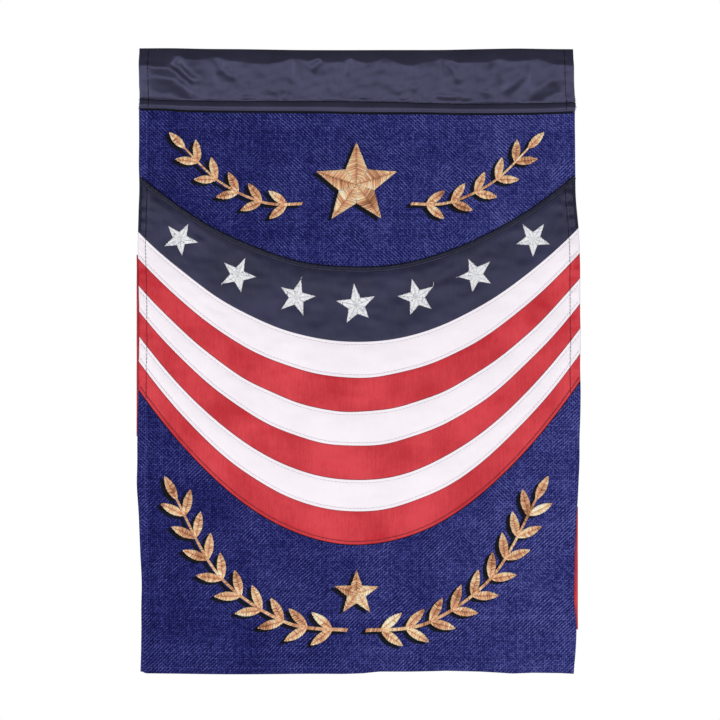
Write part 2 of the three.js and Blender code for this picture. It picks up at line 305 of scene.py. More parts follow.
def small_star(x):
    share = abs(x) / SWAG_REACH
    radius = STAR_RADIUS["centre"] + (STAR_RADIUS["side"] - STAR_RADIUS["centre"]) * share
    turn = -math.atan(band_middle(x + 1) - band_middle(x))
    return {"x": x, "z": band_middle(x), "radius": radius, "waist": STAR_WAIST, "turn": turn}


SMALL_STARS = [small_star(x) for x in STAR_XS]


def star_pull(x, z):
    """How firmly the stars' stitches hold the cloth, and the puckers that run out from them."""
    hold, pucker = 0.0, 0.0
    for k, star in enumerate(SMALL_STARS):
        dx, dz = x - star["x"], z - star["z"]
        away = np.hypot(dx, dz) / star["radius"]
        hold = hold + np.exp(-((away / 0.78) ** 4))
        spokes = np.cos((5 + k % 3) * np.arctan2(dz, dx) + k)
        pucker = pucker + 0.2 * spokes * bell(away - 1.1, 0.36)
    return np.minimum(hold, 1), pucker


def side_distance(x, z):
    return np.minimum(x - left_edge(z), right_edge(z) - x)


def hem_lines(x, z):
    """How far inside each hem's row of stitches a place is."""
    return x - left_edge(z) - LEFT_HEM, right_edge(z) - x - RIGHT_HEM, z - hem_height(x) - BOTTOM_HEM


def hem_out(x, z):
    """The doubled cloth of the side and bottom hems, drawn in along their stitches."""
    out = 0.0
    for inside in hem_lines(x, z):
        raised = HEM_RAISE * (1 - smooth((inside + 0.6) / 1.4))
        ripple = HEM_RIPPLE * hem_pucker(x, z) * bell(inside + 2.4, 3.4)
        out = out + raised - HEM_GROOVE * bell(inside, GROOVE_REACH) + ripple
    inside = np.clip(np.minimum(side_distance(x, z), z - hem_height(x)) / EDGE_ROLL["wide"], 0, 1)
    return out - EDGE_ROLL["deep"] * (1 - np.sqrt(1 - (1 - inside) ** 2))


def slack(x, z):
    """How far a thin cloth stands off what it is sewn to: none at its stitches."""
    free, ripple, groove = 1.0, 0.0, 0.0
    for seam, (_, _, above) in SEAMS.items():
        away = np.abs(from_seam(seam, x, z) - above)
        free = free * (1 - HOLD["row"] * bell(away, HOLD["row_reach"]))
        ripple = ripple + bell(away - 2.2, 2.4)
        groove = groove + bell(away, GROOVE_REACH)
    hem_hold, ribs = 1.0, 0.0
    for inside in hem_lines(x, z)[:2]:
        hem_hold = hem_hold - HOLD["hem"] * bell(inside, HOLD["hem_reach"])
        ribs = ribs + bell(np.maximum(inside, 0), HOLD["rib_reach"])
    hold, star_puckers = star_pull(x, z)
    loose = SLACK["mean"] + SLACK["broad"] * slack_field(x, z) + SLACK["small"] * small_slack(x, z)
    loose = loose + creases(x, z, CREASES) + star_puckers + SLACK["ribs"] * ribs * hem_pucker(x, z)
    loose = np.log1p(np.exp(SLACK["sharpness"] * loose)) / SLACK["sharpness"]
    puckers = PATCH_RIPPLE * ripple * (1 + pucker_field(x, z)) / 2
    held = free * hem_hold * (1 - HOLD["star"] * hold) * loose
    return held + puckers + PATCH_GROOVE * (1 - groove)


def burlap_face(x, z):
    """Distance of the front burlap's face in front of the mid-plane."""
    return BURLAP["near"] + hem_out(x, z)


def thin_face(level, x, z):
    """The same for a thin cloth at a level."""
    return level["near"] + hem_out(x, z) + slack(x, z)


def front_ground(x, z):
    return drape(x, z) - burlap_face(x, z)


def patch_ground(x, z):
    return drape(x, z) - thin_face(PATCH, x, z)


def overlay_ground(x, z):
    return drape(x, z) - thin_face(OVERLAY, x, z)


def raised(ground, height):
    """The same surface, nearer to the viewer by a height."""
    return lambda x, z: ground(x, z) - height


# Meshes


def mesh_object(name, verts, faces, tint=None):
    """An object from vertices in millimetres and faces of three or four corners."""
    mesh = bpy.data.meshes.new(name)
    mesh.from_pydata((np.asarray(verts) * MM).tolist(), [], [list(map(int, f)) for f in faces])
    mesh.polygons.foreach_set("use_smooth", [True] * len(mesh.polygons))
    if tint is not None:
        layer = mesh.attributes.new("tint", "FLOAT", "POINT")
        layer.data.foreach_set("value", np.asarray(tint, np.float32))
    mesh.update()
    obj = bpy.data.objects.new(name, mesh)
    bpy.context.scene.collection.objects.link(obj)
    return obj


def closed_sheet(name, near, far):
    """A closed mesh from two grids of points, row after row, joined round their rims."""
    rows, cols, _ = near.shape
    size = rows * cols
    top = [(0, c) for c in range(cols)]
    right = [(r, cols - 1) for r in range(1, rows)]
    bottom = [(rows - 1, c) for c in range(cols - 2, -1, -1)]
    left = [(r, 0) for r in range(rows - 2, 0, -1)]
    rim = np.array([r * cols + c for r, c in top + right + bottom + left])
    after = np.roll(rim, -1)
    sides = np.stack([rim, rim + size, after + size, after], axis=1)
    r, c = np.meshgrid(np.arange(rows - 1), np.arange(cols - 1), indexing="ij")
    a = (r * cols + c).ravel()
    quads = np.stack([a, a + 1, a + cols + 1, a + cols], axis=1)
    verts = np.concatenate([near.reshape(-1, 3), far.reshape(-1, 3)])
    return mesh_object(name, verts, np.concatenate([quads[:, ::-1], quads + size, sides]))


def slab(name, x, z, near, far):
    """A closed sheet from two grids of depth, near being the face towards the viewer."""
    return closed_sheet(name, np.stack([x, near, z], axis=-1), np.stack([x, far, z], axis=-1))


# Cell sizes of the cloths' meshes, and the places of the cells next to an edge: of a plain one, and of
# one with a stitched hem
CELLS = {"panel": 2.9, "band": 1.9, "overlay": 1.7, "back": 2.6, "sleeve": 1.5}
EDGE_CELLS = (0.0, 0.22, 0.6, 1.2, 2.0, 2.9, 4.0, 5.4)
HEM_CELLS = (0.0, 0.25, 0.7, 1.4, 2.4, 3.5, 4.7, 5.6, 6.2, 6.8, 7.4, 8.2, 9.4, 10.6, 11.3, 12.0, 13.0)


def edge_steps(length, inner, edge=EDGE_CELLS):
    """Distances across a cloth, close together along both of its edges."""
    edge = [e for e in edge if e < length / 2 - inner / 2]
    count = max(2, round((length - 2 * edge[-1]) / inner) + 1)
    middle = np.linspace(edge[-1], length - edge[-1], count)
    return np.concatenate([edge[:-1], middle, [length - e for e in edge[-2::-1]]])


def rounded(distance, radius=0.5):
    """How full a cloth's thickness is at a distance from its edge."""
    t = np.clip(distance / radius, 0, 1)
    return 0.3 + 0.7 * np.sqrt(1 - (1 - t) ** 2)


def make_burlap(name, inset, out):
    """A whole burlap layer, its edges inset, on the front (out is -1) or on the back (1)."""
    tall = HEIGHT + PANEL_TOP
    u = edge_steps(WIDTH, CELLS["panel"], HEM_CELLS) / WIDTH
    v = edge_steps(tall, CELLS["panel"], HEM_CELLS) / tall
    guess_x = (u - 0.5) * WIDTH
    z = PANEL_TOP + v[:, None] * (hem_height(guess_x)[None, :] + inset - PANEL_TOP)
    low, high = left_edge(z) + inset, right_edge(z) - inset
    x = low + u[None, :] * (high - low)
    face = burlap_face(x, z) - 0.25 * inset
    inner = BURLAP["near"] - BURLAP["thick"]
    edge = np.minimum(side_distance(x, z) - inset, z - hem_height(x) - inset)
    full = rounded(np.maximum(edge, 0), 0.8)
    middle = (face + inner) / 2
    levels = middle - (middle - inner) * full, middle + (face - middle) * full
    near, far = levels if out > 0 else levels[::-1]
    return slab(name, x, z, drape(x, z) + out * near, drape(x, z) + out * far)


def make_band(name, level, upper, lower, cell, inset=0.3):
    """One cloth of the swag, between two lines from side to side. Its edges turn down."""
    u = edge_steps(WIDTH, cell, HEM_CELLS) / WIDTH
    guess = (u - 0.5) * WIDTH
    tall = float(np.mean(upper(guess) - lower(guess)))
    v = edge_steps(tall, cell) / tall
    x = np.repeat(guess[None, :], len(v), axis=0)
    for _ in range(3):
        z = upper(x) + v[:, None] * (lower(x) - upper(x))
        low, high = left_edge(z) + inset, right_edge(z) - inset
        x = low + u[None, :] * (high - low)
    face = thin_face(level, x, z)
    away = np.minimum(upper(x) - z, z - lower(x))
    away = np.minimum(away, side_distance(x, z) - inset)
    under = face - level["thick"]
    near = under + (face - under) * rounded(np.maximum(away, 0), 0.7)
    return slab(name, x, z, drape(x, z) - near, drape(x, z) - under)


# Sleeve

# Lower border of the strip that turns over the top fold: how far down it comes along the sleeve
TOP_TURN = {
    "blur": 1.6,
    "x": [-160, -146, -139, -134, -131, -129, -124, -116, -108, -103, -98, -86, -76, -66, -56, -50,
          -45, -40, -35, -31, -28, -24, -17, -10, -4, 0, 4, 10, 15, 21, 26, 35, 41, 50, 58, 63, 66,
          75, 85, 96, 104, 112, 120, 127, 133, 138, 146, 160],
    "down": [13.4, 13.8, 13.0, 10.5, 7.0, 5.6, 8.0, 8.8, 7.6, 6.0, 8.0, 9.8, 10.8, 11.2, 9.6, 8.0,
             6.2, 7.8, 8.9, 8.2, 6.4, 9.2, 9.8, 9.0, 6.4, 7.8, 9.9, 9.9, 9.1, 6.0, 8.2, 12.0, 12.2,
             9.6, 8.4, 5.8, 7.6, 9.9, 9.9, 9.6, 7.7, 9.2, 9.4, 8.6, 6.9, 9.6, 11.5, 12.5],
}
SLEEVE_TOP = {
    "blur": 9,
    "x": [-158.9, -135, -112, -80, -45, -10, 22, 62, 88, 118, 140, 158.9],
    "top": [0.85, 1.05, 0.45, 0.25, -0.35, -0.45, -0.35, -0.35, 0.25, 0.85, 0.35, 0.25],
}
# How far the seam under the pocket and the sleeve's foot hang below their level places
SLEEVE_SAG = {
    "blur": 6,
    "x": [-157, -141, -129, -118, -100, -24, 0, 11, 35, 50, 75, 105, 128, 145, 160],
    "seam": [-1.8, -0.7, -0.6, -0.5, 0, 0, 0.15, 0.3, 0.8, 1.4, 1.9, 1.7, 1.6, 1.3, 0.7],
    "foot": [-2.1, -2.0, -1.0, -0.7, -0.4, 0, 0.7, 0.75, 0.75, 0.8, 1.4, 1.4, 1.1, 0.6, 0.0],
}
SLEEVE_RIGHT = {
    "blur": 1.5,
    "z": [2, -3, -17, -30, -37, -40.5, -45.6],
    "out": [-0.5, -0.4, 0.1, 0.6, 1.2, 1.5, 0.9],
}
SLEEVE_CREASES = [
    ([(-154, -18.6), (-133.4, -21.5), (-117, -35)], (5.6, 3.4), -1.95),
    ([(-158, -14.2), (-136, -14.6), (-125.5, -23.3), (-116.6, -32)], (2.8, 2.6), 1.17),
    ([(-132.3, -5), (-132.4, -12.5), (-122.8, -20.6), (-112, -25)], (3.0, 2.6), -1.82),
    ([(-128.5, -6.5), (-120, -19), (-110, -35)], (2.6, 5.0), 1.17),
    ([(-156, -30), (-138, -33), (-124, -36)], (3.0, 3.0), 0.65),
    ([(-103, -7), (-98.7, -15.4), (-86.5, -24)], (2.2, 3.6), -1.17),
    ([(-106, -7), (-102, -18), (-96, -30)], (4.0, 2.0), 0.65),
    ([(-80, -24), (-78, -33)], (2.0, 2.0), 0.45),
    ([(-48, -12), (-47.2, -26)], (1.6, 1.6), -0.45),
    ([(-45.2, -6), (-45, -23)], (1.8, 1.6), 0.78),
    ([(-44, -6), (-40.6, -28)], (1.6, 2.6), 0.65),
    ([(-26.8, -6.5), (-29, -12), (-32.5, -18)], (2.8, 1.8), -1.3),
    ([(-30, -6), (-34.5, -13)], (2.4, 1.4), 0.52),
    ([(-18.5, -12), (-17.5, -30)], (1.6, 2.2), 0.52),
    ([(-20.6, -20), (-19.5, -31)], (1.4, 1.4), -0.39),
    ([(-9.5, -8), (-10.8, -21)], (1.8, 1.8), 0.59),
    ([(-4, -7), (-6.5, -21)], (2.2, 1.6), -0.65),
    ([(-1.5, -7), (-2, -24)], (1.6, 2.0), 0.52),
    ([(20.5, -6), (19.5, -24)], (2.6, 2.8), 0.65),
    ([(14, -11), (13, -28)], (1.8, 1.8), -0.45),
    ([(34, -26), (30, -34)], (2.2, 2.2), -0.59),
    ([(45, -24), (41, -32)], (2.2, 2.0), -0.65),
    ([(63.4, -6), (64, -28)], (2.2, 1.8), 0.91),
    ([(66, -9), (71, -16), (75, -27)], (1.8, 3.6), -1.3),
    ([(56, -34), (68, -35), (77, -34.5)], (1.8, 1.8), -1.04),
    ([(76, -35.6), (84, -36)], (1.6, 1.6), -0.78),
    ([(90, -31), (98, -31.6)], (1.8, 1.8), -0.72),
    ([(99, -9), (97, -26)], (2.4, 1.6), 0.52),
    ([(104, -9), (103, -24)], (1.6, 2.4), -0.45),
    ([(122, -17), (115, -26), (106, -32.5)], (3.8, 3.0), -1.3),
    ([(149, -17), (138, -26), (126, -36)], (4.6, 5.0), -1.95),
    ([(127, -8), (124, -22), (116, -34)], (3.0, 2.2), 0.78),
    ([(138, -36), (150, -31.5)], (2.0, 2.4), 0.78),
    ([(-86.5, -35.4), (-80, -35.8), (-73, -35.6)], (1.3, 1.0), -0.78),
    ([(-56, -36.3), (-48, -36.6)], (1.3, 1.0), -0.78),
    ([(-61, -30), (-59, -32.5)], (1.4, 1.2), -0.65),
    ([(-54, -28.5), (-53, -31.5)], (1.2, 1.2), -0.52),
    ([(-30, -35.6), (-25, -36.2)], (1.3, 1.0), -0.65),
    ([(2, -35.3), (9.5, -35.5)], (1.3, 1.1), -0.78),
    ([(21.5, -36), (26.5, -36.2)], (1.3, 1.0), -0.65),
    ([(31.5, -35.8), (36.5, -36)], (1.3, 1.0), -0.65),
    ([(42.5, -37), (45.5, -37.2)], (1.2, 1.0), -0.65),
]
SLEEVE_BACK_CREASES = [
    ([(-124, -8), (-112, -18), (-98, -32)], (3.0, 4.0), -1.0),
    ([(-62, -7), (-56, -18), (-52, -30)], (2.6, 2.6), 0.6),
    ([(-14, -9), (-6, -20), (6, -32)], (3.4, 2.4), -0.9),
    ([(48, -6), (44, -16), (40, -28)], (2.6, 2.0), 0.55),
    ([(94, -10), (108, -20), (122, -33)], (3.6, 4.6), -1.1),
    ([(138, -14), (146, -16), (156, -19)], (3.0, 3.0), 0.7),
    ([(-148, -30), (-134, -33), (-120, -34)], (2.0, 2.0), -0.7),
]
# Half the pocket's depth, the wall's face at the seam, the tail's face just below it, the turned strip's
# depth on the back, the cloth's thickness, and how far in the side hems are stitched
POCKET_HALF = 5.0
SEAM_FACE = BURLAP["near"] + 0.35
TAIL_FACE = 1.8
BACK_TURN = 7
SLEEVE_THICK = 0.45
SLEEVE_SIDE_HEM = 6.6
# A height well inside the pocket, from which the sleeve's outer side is told
SLEEVE_MIDDLE = -14
# Wrinkles of the pocket's walls, gathers over and under the seam, and the groove along it
FOLDS = {"broad": 0.3, "small": 0.14, "fine": 0.11, "over": 0.22, "under": 0.09, "groove": 0.5}
SLEEVE_CELLS = (0.0, 0.3, 0.8, 1.8, 3.2, 4.8, 5.8, 6.2, 6.6, 7.4, 8.6)

turn_down = smooth_table(TOP_TURN, "x", "down")
sleeve_top = smooth_table(SLEEVE_TOP, "x", "top")
sleeve_waver = waves(21, 14, 60)
sleeve_small = waves(22, 5, 14)
seam_gather = waves(23, 3.5, 8, lean=0.0)
gather_field = waves(24, 3.2, 9, lean=0.0)
gather_share = waves(25, 24, 70)
sleeve_right_out = smooth_table(SLEEVE_RIGHT, "z", "out")
seam_sag = smooth_table(SLEEVE_SAG, "x", "seam")
foot_sag = smooth_table(SLEEVE_SAG, "x", "foot")


def sleeve_left(z):
    return -WIDTH / 2 - 0.15 + SLEEVE_WANDER * edge_waver(z * 3)


def sleeve_right(z):
    return WIDTH / 2 + sleeve_right_out(z) + SLEEVE_WANDER * edge_waver(z * 3 + 400)


def sleeve_height(x, down):
    """Height of the cloth at a depth below its top fold: it sags with the seam and the foot."""
    share = down / -STITCH_LINE
    pocket = -down + (1 - share) * sleeve_top(x) - share * seam_sag(x)
    tail = (down + STITCH_LINE) / (STITCH_LINE - SLEEVE_FOOT)
    below = -down - seam_sag(x) - (foot_sag(x) - seam_sag(x)) * tail
    return np.where(share < 1, pocket, below)


def sleeve_depth(x, z):
    """The depth below the top fold at which the cloth has a height."""
    top = sleeve_top(x)
    seam = STITCH_LINE - seam_sag(x)
    pocket = -STITCH_LINE * (top - z) / (top - seam)
    tail = (seam - z) / (seam - SLEEVE_FOOT + foot_sag(x))
    return np.where(z < seam, -STITCH_LINE + tail * (STITCH_LINE - SLEEVE_FOOT), pocket)


def sleeve_face(x, down, side):
    """Distance of the sleeve's face from the mid-plane, at a depth below its top fold."""
    front = side == "front"
    turn = turn_down(x) if front else BACK_TURN + 1.4 * sleeve_waver(x + 333)
    stitch = -STITCH_LINE
    over = np.clip(down / turn, 0, 1)
    strip = POCKET_HALF * (0.55 * over + 0.45 * np.sqrt(1 - (1 - over) ** 2))
    fall = np.clip((down - turn) / (stitch - turn), 0, 1)
    wall = SEAM_FACE + (POCKET_HALF - SEAM_FACE) * (1 - fall) ** 1.15
    tail = np.clip((down - stitch) / (-SLEEVE_FOOT - stitch), 0, 1)
    roll = TAIL_FACE + 1.15 * smooth(tail / 0.62) - 0.85 * smooth((tail - 0.6) / 0.4)
    face = np.where(down > stitch, roll, np.where(down < turn, strip, wall))
    in_pocket = smooth((down - 2) / 6) * smooth((stitch - down) / 2.2)
    wrinkle = creases(x, sleeve_height(x, down), SLEEVE_CREASES if front else SLEEVE_BACK_CREASES)
    wrinkle = wrinkle + FOLDS["broad"] * sleeve_waver(x, -down) + FOLDS["small"] * sleeve_small(x, -down)
    fine = FOLDS["fine"] * gather_field(x, -down * 0.25) * (0.6 + 0.6 * gather_share(x, -down))
    gather = FOLDS["over"] * seam_gather(x, down) * bell(stitch - down - 2.6, 2.4)
    gather = gather + FOLDS["under"] * seam_gather(x + 50, down) * bell(down - stitch - 3.6, 2.4)
    return face + in_pocket * (wrinkle + fine) + gather - FOLDS["groove"] * bell(down - stitch, 0.8)


def sleeve_surface(x, down, side):
    """The same with its side hems, which are doubled and drawn in along their stitches."""
    edge = np.minimum(x - sleeve_left(-down), sleeve_right(-down) - x)
    past = edge - SLEEVE_SIDE_HEM
    low = smooth((down - 4) / 5)
    hem = 0.28 * (1 - smooth(past + 0.5)) - 0.3 * low * bell(past, 0.6)
    hem = hem + 0.2 * low * hem_pucker(x, -down * 1.3) * bell(past, 2.2)
    inside = np.clip(edge / 1.6, 0, 1)
    return sleeve_face(x, down, side) + hem - 0.5 * low * (1 - np.sqrt(1 - (1 - inside) ** 2))


def sleeve_side(side, out):
    """The sleeve's surface on one side of the flag, as a place in y."""
    return lambda x, z: out * sleeve_surface(x, sleeve_depth(x, z), side)


def sleeve_section():
    """Depths below the top fold, from the foot up to just under the fold."""
    tail = np.linspace(-SLEEVE_FOOT, -STITCH_LINE + 1.2, 9)
    seam = -STITCH_LINE + np.array([0.8, 0.4, 0.0, -0.5, -1.0, -1.7])
    wall = np.linspace(-STITCH_LINE - 2.6, 13.5, 18)
    return np.concatenate([tail, seam, wall, np.linspace(12.4, 1.0, 15), [0.45, 0.12]])


def make_sleeve():
    """One cloth from the back foot up over the fold and down to the front foot."""
    half = sleeve_section()
    down = np.concatenate([half, [0.0], half[::-1]])
    side = np.repeat([1, 0, -1], [len(half), 1, len(half)])[:, None]
    u = edge_steps(WIDTH, CELLS["sleeve"], SLEEVE_CELLS) / WIDTH
    left, right = sleeve_left(-down)[:, None], sleeve_right(-down)[:, None]
    x = left + u[None, :] * (right - left)
    deep = np.repeat(down[:, None], len(u), axis=1)
    front, back = sleeve_surface(x, deep, "front"), sleeve_surface(x, deep, "back")
    y = np.where(side > 0, back, np.where(side < 0, -front, 0.0))
    z = sleeve_height(x, deep)
    outer = np.stack([x, y, z], axis=-1)
    along = np.gradient(outer, axis=0)
    normal = np.stack([np.zeros_like(x), -along[..., 2], along[..., 1]], axis=-1)
    normal /= np.linalg.norm(normal, axis=-1, keepdims=True)
    thick = SLEEVE_THICK * rounded(np.minimum(x - left, right - x), 0.5)[..., None]
    outward = np.sign((normal[..., 1] * y + normal[..., 2] * (z - SLEEVE_MIDDLE)).sum())
    return closed_sheet("rod_sleeve_cloth", outer, outer - outward * normal * thick)


# Thread


class Threads:
    """Many short threads gathered into one mesh, each a low ridge along a row of points."""

    def __init__(self, name):
        self.name = name
        self.verts = []
        self.faces = []
        self.tints = []
        self.count = 0

    def add(self, centre, across, up, tint):
        """centre, across and up are (threads, points, 3); tint is (threads, points)."""
        threads, points, _ = centre.shape
        ring = np.stack([centre - across, centre + up, centre + across], axis=2)
        base = self.count + np.arange(threads) * points * 3
        corners = np.arange(3)
        i = (np.arange(points - 1) * 3)[None, :, None]
        a = base[:, None, None] + i + corners
        b = base[:, None, None] + i + (corners + 1) % 3
        quads = np.stack([a, b, b + 3, a + 3], axis=-1).reshape(-1, 4)
        first = base[:, None] + corners[::-1]
        last = base[:, None] + (points - 1) * 3 + corners
        self.verts.append(ring.reshape(-1, 3))
        self.faces.extend([quads, first, last])
        self.tints.append(np.repeat(tint[..., None], 3, axis=2).reshape(-1))
        self.count += threads * points * 3

    def build(self):
        faces = [face for block in self.faces for face in block.tolist()]
        return mesh_object(self.name, np.concatenate(self.verts), faces, np.concatenate(self.tints))


def lay_threads(
    threads, start, end, ground, lift, width, tint, points=5, arch=0.5, vary=0.05, out=-1, painted_light=(0, 0)
):
    """Lays a thread from each start to each end, in x and z, arched over the cloth below.

    The last argument paints light and shade along the thread: how much lighter it is at places spread evenly
    along it, a painted highlight where it is lighter and painted shade where it is darker.
    """
    t = np.linspace(0, 1, points)[None, :, None]
    flat = start[:, None, :] * (1 - t) + end[:, None, :] * t
    x, z = flat[..., 0], flat[..., 1]
    bow = np.sin(math.pi * np.linspace(0.06, 0.94, points)) ** arch
    height = lift * bow[None, :] * (1 + 0.08 * RNG.normal(size=(len(start), 1)))
    centre = np.stack([x, ground(x, z) + out * height, z], axis=-1)
    run = end - start
    run = run / np.maximum(np.linalg.norm(run, axis=1, keepdims=True), 1e-6)
    half = width / 2
    across = np.stack([-run[:, 1], np.zeros(len(run)), run[:, 0]], axis=1)[:, None, :] * half
    across = np.repeat(across, points, axis=1)
    up = np.zeros_like(across)
    up[..., 1] = out * half * 1.15
    shade = tint[:, None] + vary * RNG.normal(size=(len(start), 1))
    # Painted light along each thread: lighter for a painted highlight, darker for painted shade
    lighter = np.interp(np.linspace(0, 1, points), np.linspace(0, 1, len(painted_light)), painted_light)
    threads.add(centre, across, up, shade + lighter[None, :])


def path(x, z):
    """x and z side by side, as the points of a line."""
    return np.stack([x, z], axis=1)


def resample(points, spacing):
    """Points at even distances along a line."""
    points = np.asarray(points, float)
    steps = np.linalg.norm(np.diff(points, axis=0), axis=1)
    run = np.concatenate([[0], np.cumsum(steps)])
    at = np.linspace(0, run[-1], max(2, int(run[-1] / spacing)))
    return path(np.interp(at, run, points[:, 0]), np.interp(at, run, points[:, 1]))


def headings(line):
    """The way ahead along a line, and the way to its left, at each of its points."""
    ahead = np.gradient(line, axis=0)
    ahead /= np.linalg.norm(ahead, axis=1, keepdims=True)
    return ahead, path(-ahead[:, 1], ahead[:, 0])


# Length and radius of the stitches that show on each cloth
STITCH_SIZES = {
    "hem": (2.2, 0.2),
    "white": (2.2, 0.17),
    "navy": (2.3, 0.24),
    "red": (2.55, 0.28),
    "burlap": (1.4, 0.22),
    "sleeve": (2.4, 0.22),
}


def stitch_row(rows, line, kind_of, ground, out=-1):
    """Topstitches along a line in x and z, each dipping into the cloth at both ends.

    kind_of tells which of the rows' threads each stitch is sewn with.
    """
    ends = resample(line, STITCH_PITCH)
    start = ends[:-1]
    run = ends[1:] - start
    kinds = kind_of(start[:, 0] + run[:, 0] / 2, start[:, 1] + run[:, 1] / 2)
    start = start + RNG.normal(0, 0.05, start.shape)
    for kind, threads in rows.items():
        chosen = kinds == kind
        if not chosen.any():
            continue
        length, radius = STITCH_SIZES[kind]
        end = start + run * (length / STITCH_PITCH)
        tint = RNG.normal(0.5, 0.12, int(chosen.sum()))
        lift = radius * (1.1 - STITCH_SINK)
        lay_threads(
            threads, start[chosen], end[chosen], ground, lift, radius * 2.2, tint, points=4, arch=0.6, out=out
        )


def loose_ends(threads, starts, ways, lengths, ground, radius=0.13):
    """Stray threads that leave the cloth at a place, in a direction, and curl a little."""
    points = 7
    t = np.linspace(0, 1, points)
    for start, way, length in zip(starts, ways, lengths):
        heading = way + RNG.choice((-1, 1)) * RNG.uniform(0.7, 2.0) * t
        step = length / (points - 1)
        x = start[0] + step * np.concatenate([[0], np.cumsum(np.cos(heading[:-1]))])
        z = start[1] + step * np.concatenate([[0], np.cumsum(np.sin(heading[:-1]))])
        rise = 0.1 + 0.16 * length * RNG.uniform(0.4, 1) * t
        y = ground(x[:1], z[:1]) - rise
        across = np.stack([-np.sin(heading), np.zeros(points), np.cos(heading)], axis=1) * radius
        up = np.zeros((points, 3))
        up[:, 1] = -radius
        threads.add(np.stack([x, y, z], axis=1)[None], across[None], up[None], np.full((1, points), 0.5))


def lay_cord(threads, line, ground, radius, out=-1):
    """One long thread along a line in x and z, half sunk in what it lies on."""
    even = resample(line, 0.9)
    even = even + RNG.normal(0, 0.035, even.shape)
    x, z = even.T
    _, left = headings(even)
    across = np.stack([left[:, 0], 0 * x, left[:, 1]], axis=-1) * radius
    up = np.zeros_like(across)
    up[:, 1] = out * radius
    tint = 0.5 + 0.25 * RNG.normal(size=(1, len(even)))
    threads.add(np.stack([x, ground(x, z), z], axis=-1)[None], across[None], up[None], tint)


# Embroidered motifs

# Middle and radius of each gold star, its waist as a share of the radius, and its turn
GOLD_STARS = {
    "barn_star": {"x": 0, "z": -99, "radius": 31, "waist": 0.44, "turn": 0.0},
    "wreath_star": {"x": 0, "z": -398, "radius": 17, "waist": 0.42, "turn": 0.0},
}
# Leafy stems: the route, the pairs of leaves, a leaf's length and width, and the stem's width
STEMS = {
    "sprig": {
        "route": [(-40, -113), (-68, -112), (-100, -97), (-126, -72)],
        "pairs": 5,
        "length": 17,
        "width": 6.0,
        "stem": 2.0,
    },
    "branch": {
        "route": [(-7, -425), (-52, -419), (-100, -385), (-132, -328)],
        "pairs": 9,
        "length": 20,
        "width": 6.6,
        "stem": 2.4,
    },
}
# A leaf's angle to its stem and the place where it is widest, how much a stem thins, how many leaves'
# room is bare at its foot, the place of its last leaf, and the place where a star's facet is widest
LEAF_ANGLE = math.radians(38)
LEAF_BELLY = 0.45
STEM_TAPER = 0.4
BARE_FOOT = 0.6
TIP_LEAF = 0.99
FACET_BEND = 0.45
# How much threads vary, how much lighter they are painted along a leaf and a stem (painted highlight towards
# their edges, painted shade towards the rib or middle), and a shadow's offset
THREAD_VARY = 0.2
LEAF_PAINTED_LIGHT = (-0.14, 0.0, 0.04, 0.34)
STEM_PAINTED_LIGHT = (0.16, -0.06, -0.1, -0.06, 0.16)
SHADOW = np.array([-2.9, -1.8])
# The dark threads of a motif's shadow and its own gold threads: their pitch, how high they arch over a
# leaf and over a stem, the points along each, how ragged their ends are, how far in front of the cloth
# they start, and their shift
WORKS = {
    "shade": dict(pitch=0.62, leaf=0.24, stem=0.26, points=3, ragged=0.2, seat=0.05, shift=SHADOW),
    "thread": dict(pitch=0.5, leaf=0.62, stem=0.72, points=5, ragged=0.1, seat=0.2, shift=0),
}


def gold_tint(points, seed=77):
    """The thread's colour runs from copper to pale gold as it goes."""
    broad, near = waves(seed, 14, 50), waves(seed + 7, 3, 9)
    x, z = points[:, 0], points[:, 1]
    return 0.5 + 0.24 * broad(x, z) + 0.08 * near(x, z)


def silver_tint(points):
    return np.full(len(points), 0.62)


# The same for the stars, with how much their threads vary, the painted highlight and painted shade along
# them, and how they are tinted
STAR_WORKS = {
    "shade": dict(pitch=0.62, lift=0.22, seat=0.05, shift=SHADOW, vary=0.08, painted_light=(0, 0), tint=gold_tint),
    "thread": dict(pitch=0.5, lift=0.75, seat=0.2, shift=0, vary=THREAD_VARY, painted_light=LEAF_PAINTED_LIGHT, tint=gold_tint),
    "silver": dict(pitch=0.46, lift=0.6, seat=0.05, shift=0, vary=0.22, painted_light=(-0.12, 0.1), tint=silver_tint),
}


def catmull_rom(route, count=240):
    """A smooth curve through a few points, with its end points doubled."""
    p = np.asarray(route, float)
    p = np.concatenate([p[:1], p, p[-1:]])
    t = np.linspace(0, len(p) - 3 - 1e-9, count)
    i = t.astype(int)
    f = (t - i)[:, None]
    p0, p1, p2, p3 = p[i], p[i + 1], p[i + 2], p[i + 3]
    v0, v1 = (p2 - p0) / 2, (p3 - p1) / 2
    return (2 * p1 - 2 * p2 + v0 + v1) * f**3 + (-3 * p1 + 3 * p2 - 2 * v0 - v1) * f**2 + v0 * f + p1


def along_curve(curve, share):
    """The point and the direction at a share of a curve's length."""
    even = resample(curve, 0.5)
    at = share * (len(even) - 1)
    i = int(min(max(at, 0), len(even) - 2))
    point = even[i] + (at - i) * (even[i + 1] - even[i])
    direction = even[min(len(even) - 1, i + 4)] - even[max(0, i - 3)]
    return point, direction / np.linalg.norm(direction)


def turned(direction, angle):
    c, s = math.cos(angle), math.sin(angle)
    return np.array([direction[0] * c - direction[1] * s, direction[0] * s + direction[1] * c])


def leaf_curves(base, direction, design, way, t):
    """Points on the midrib and on one edge of a leaf, at shares of its length."""
    side = turned(direction, math.pi / 2)
    tip = base + direction * design["length"]
    bulge = base + direction * design["length"] * LEAF_BELLY + side * way * design["width"]
    t = t[:, None]
    return base + (tip - base) * t, (1 - t) ** 2 * base + 2 * t * (1 - t) * bulge + t**2 * tip


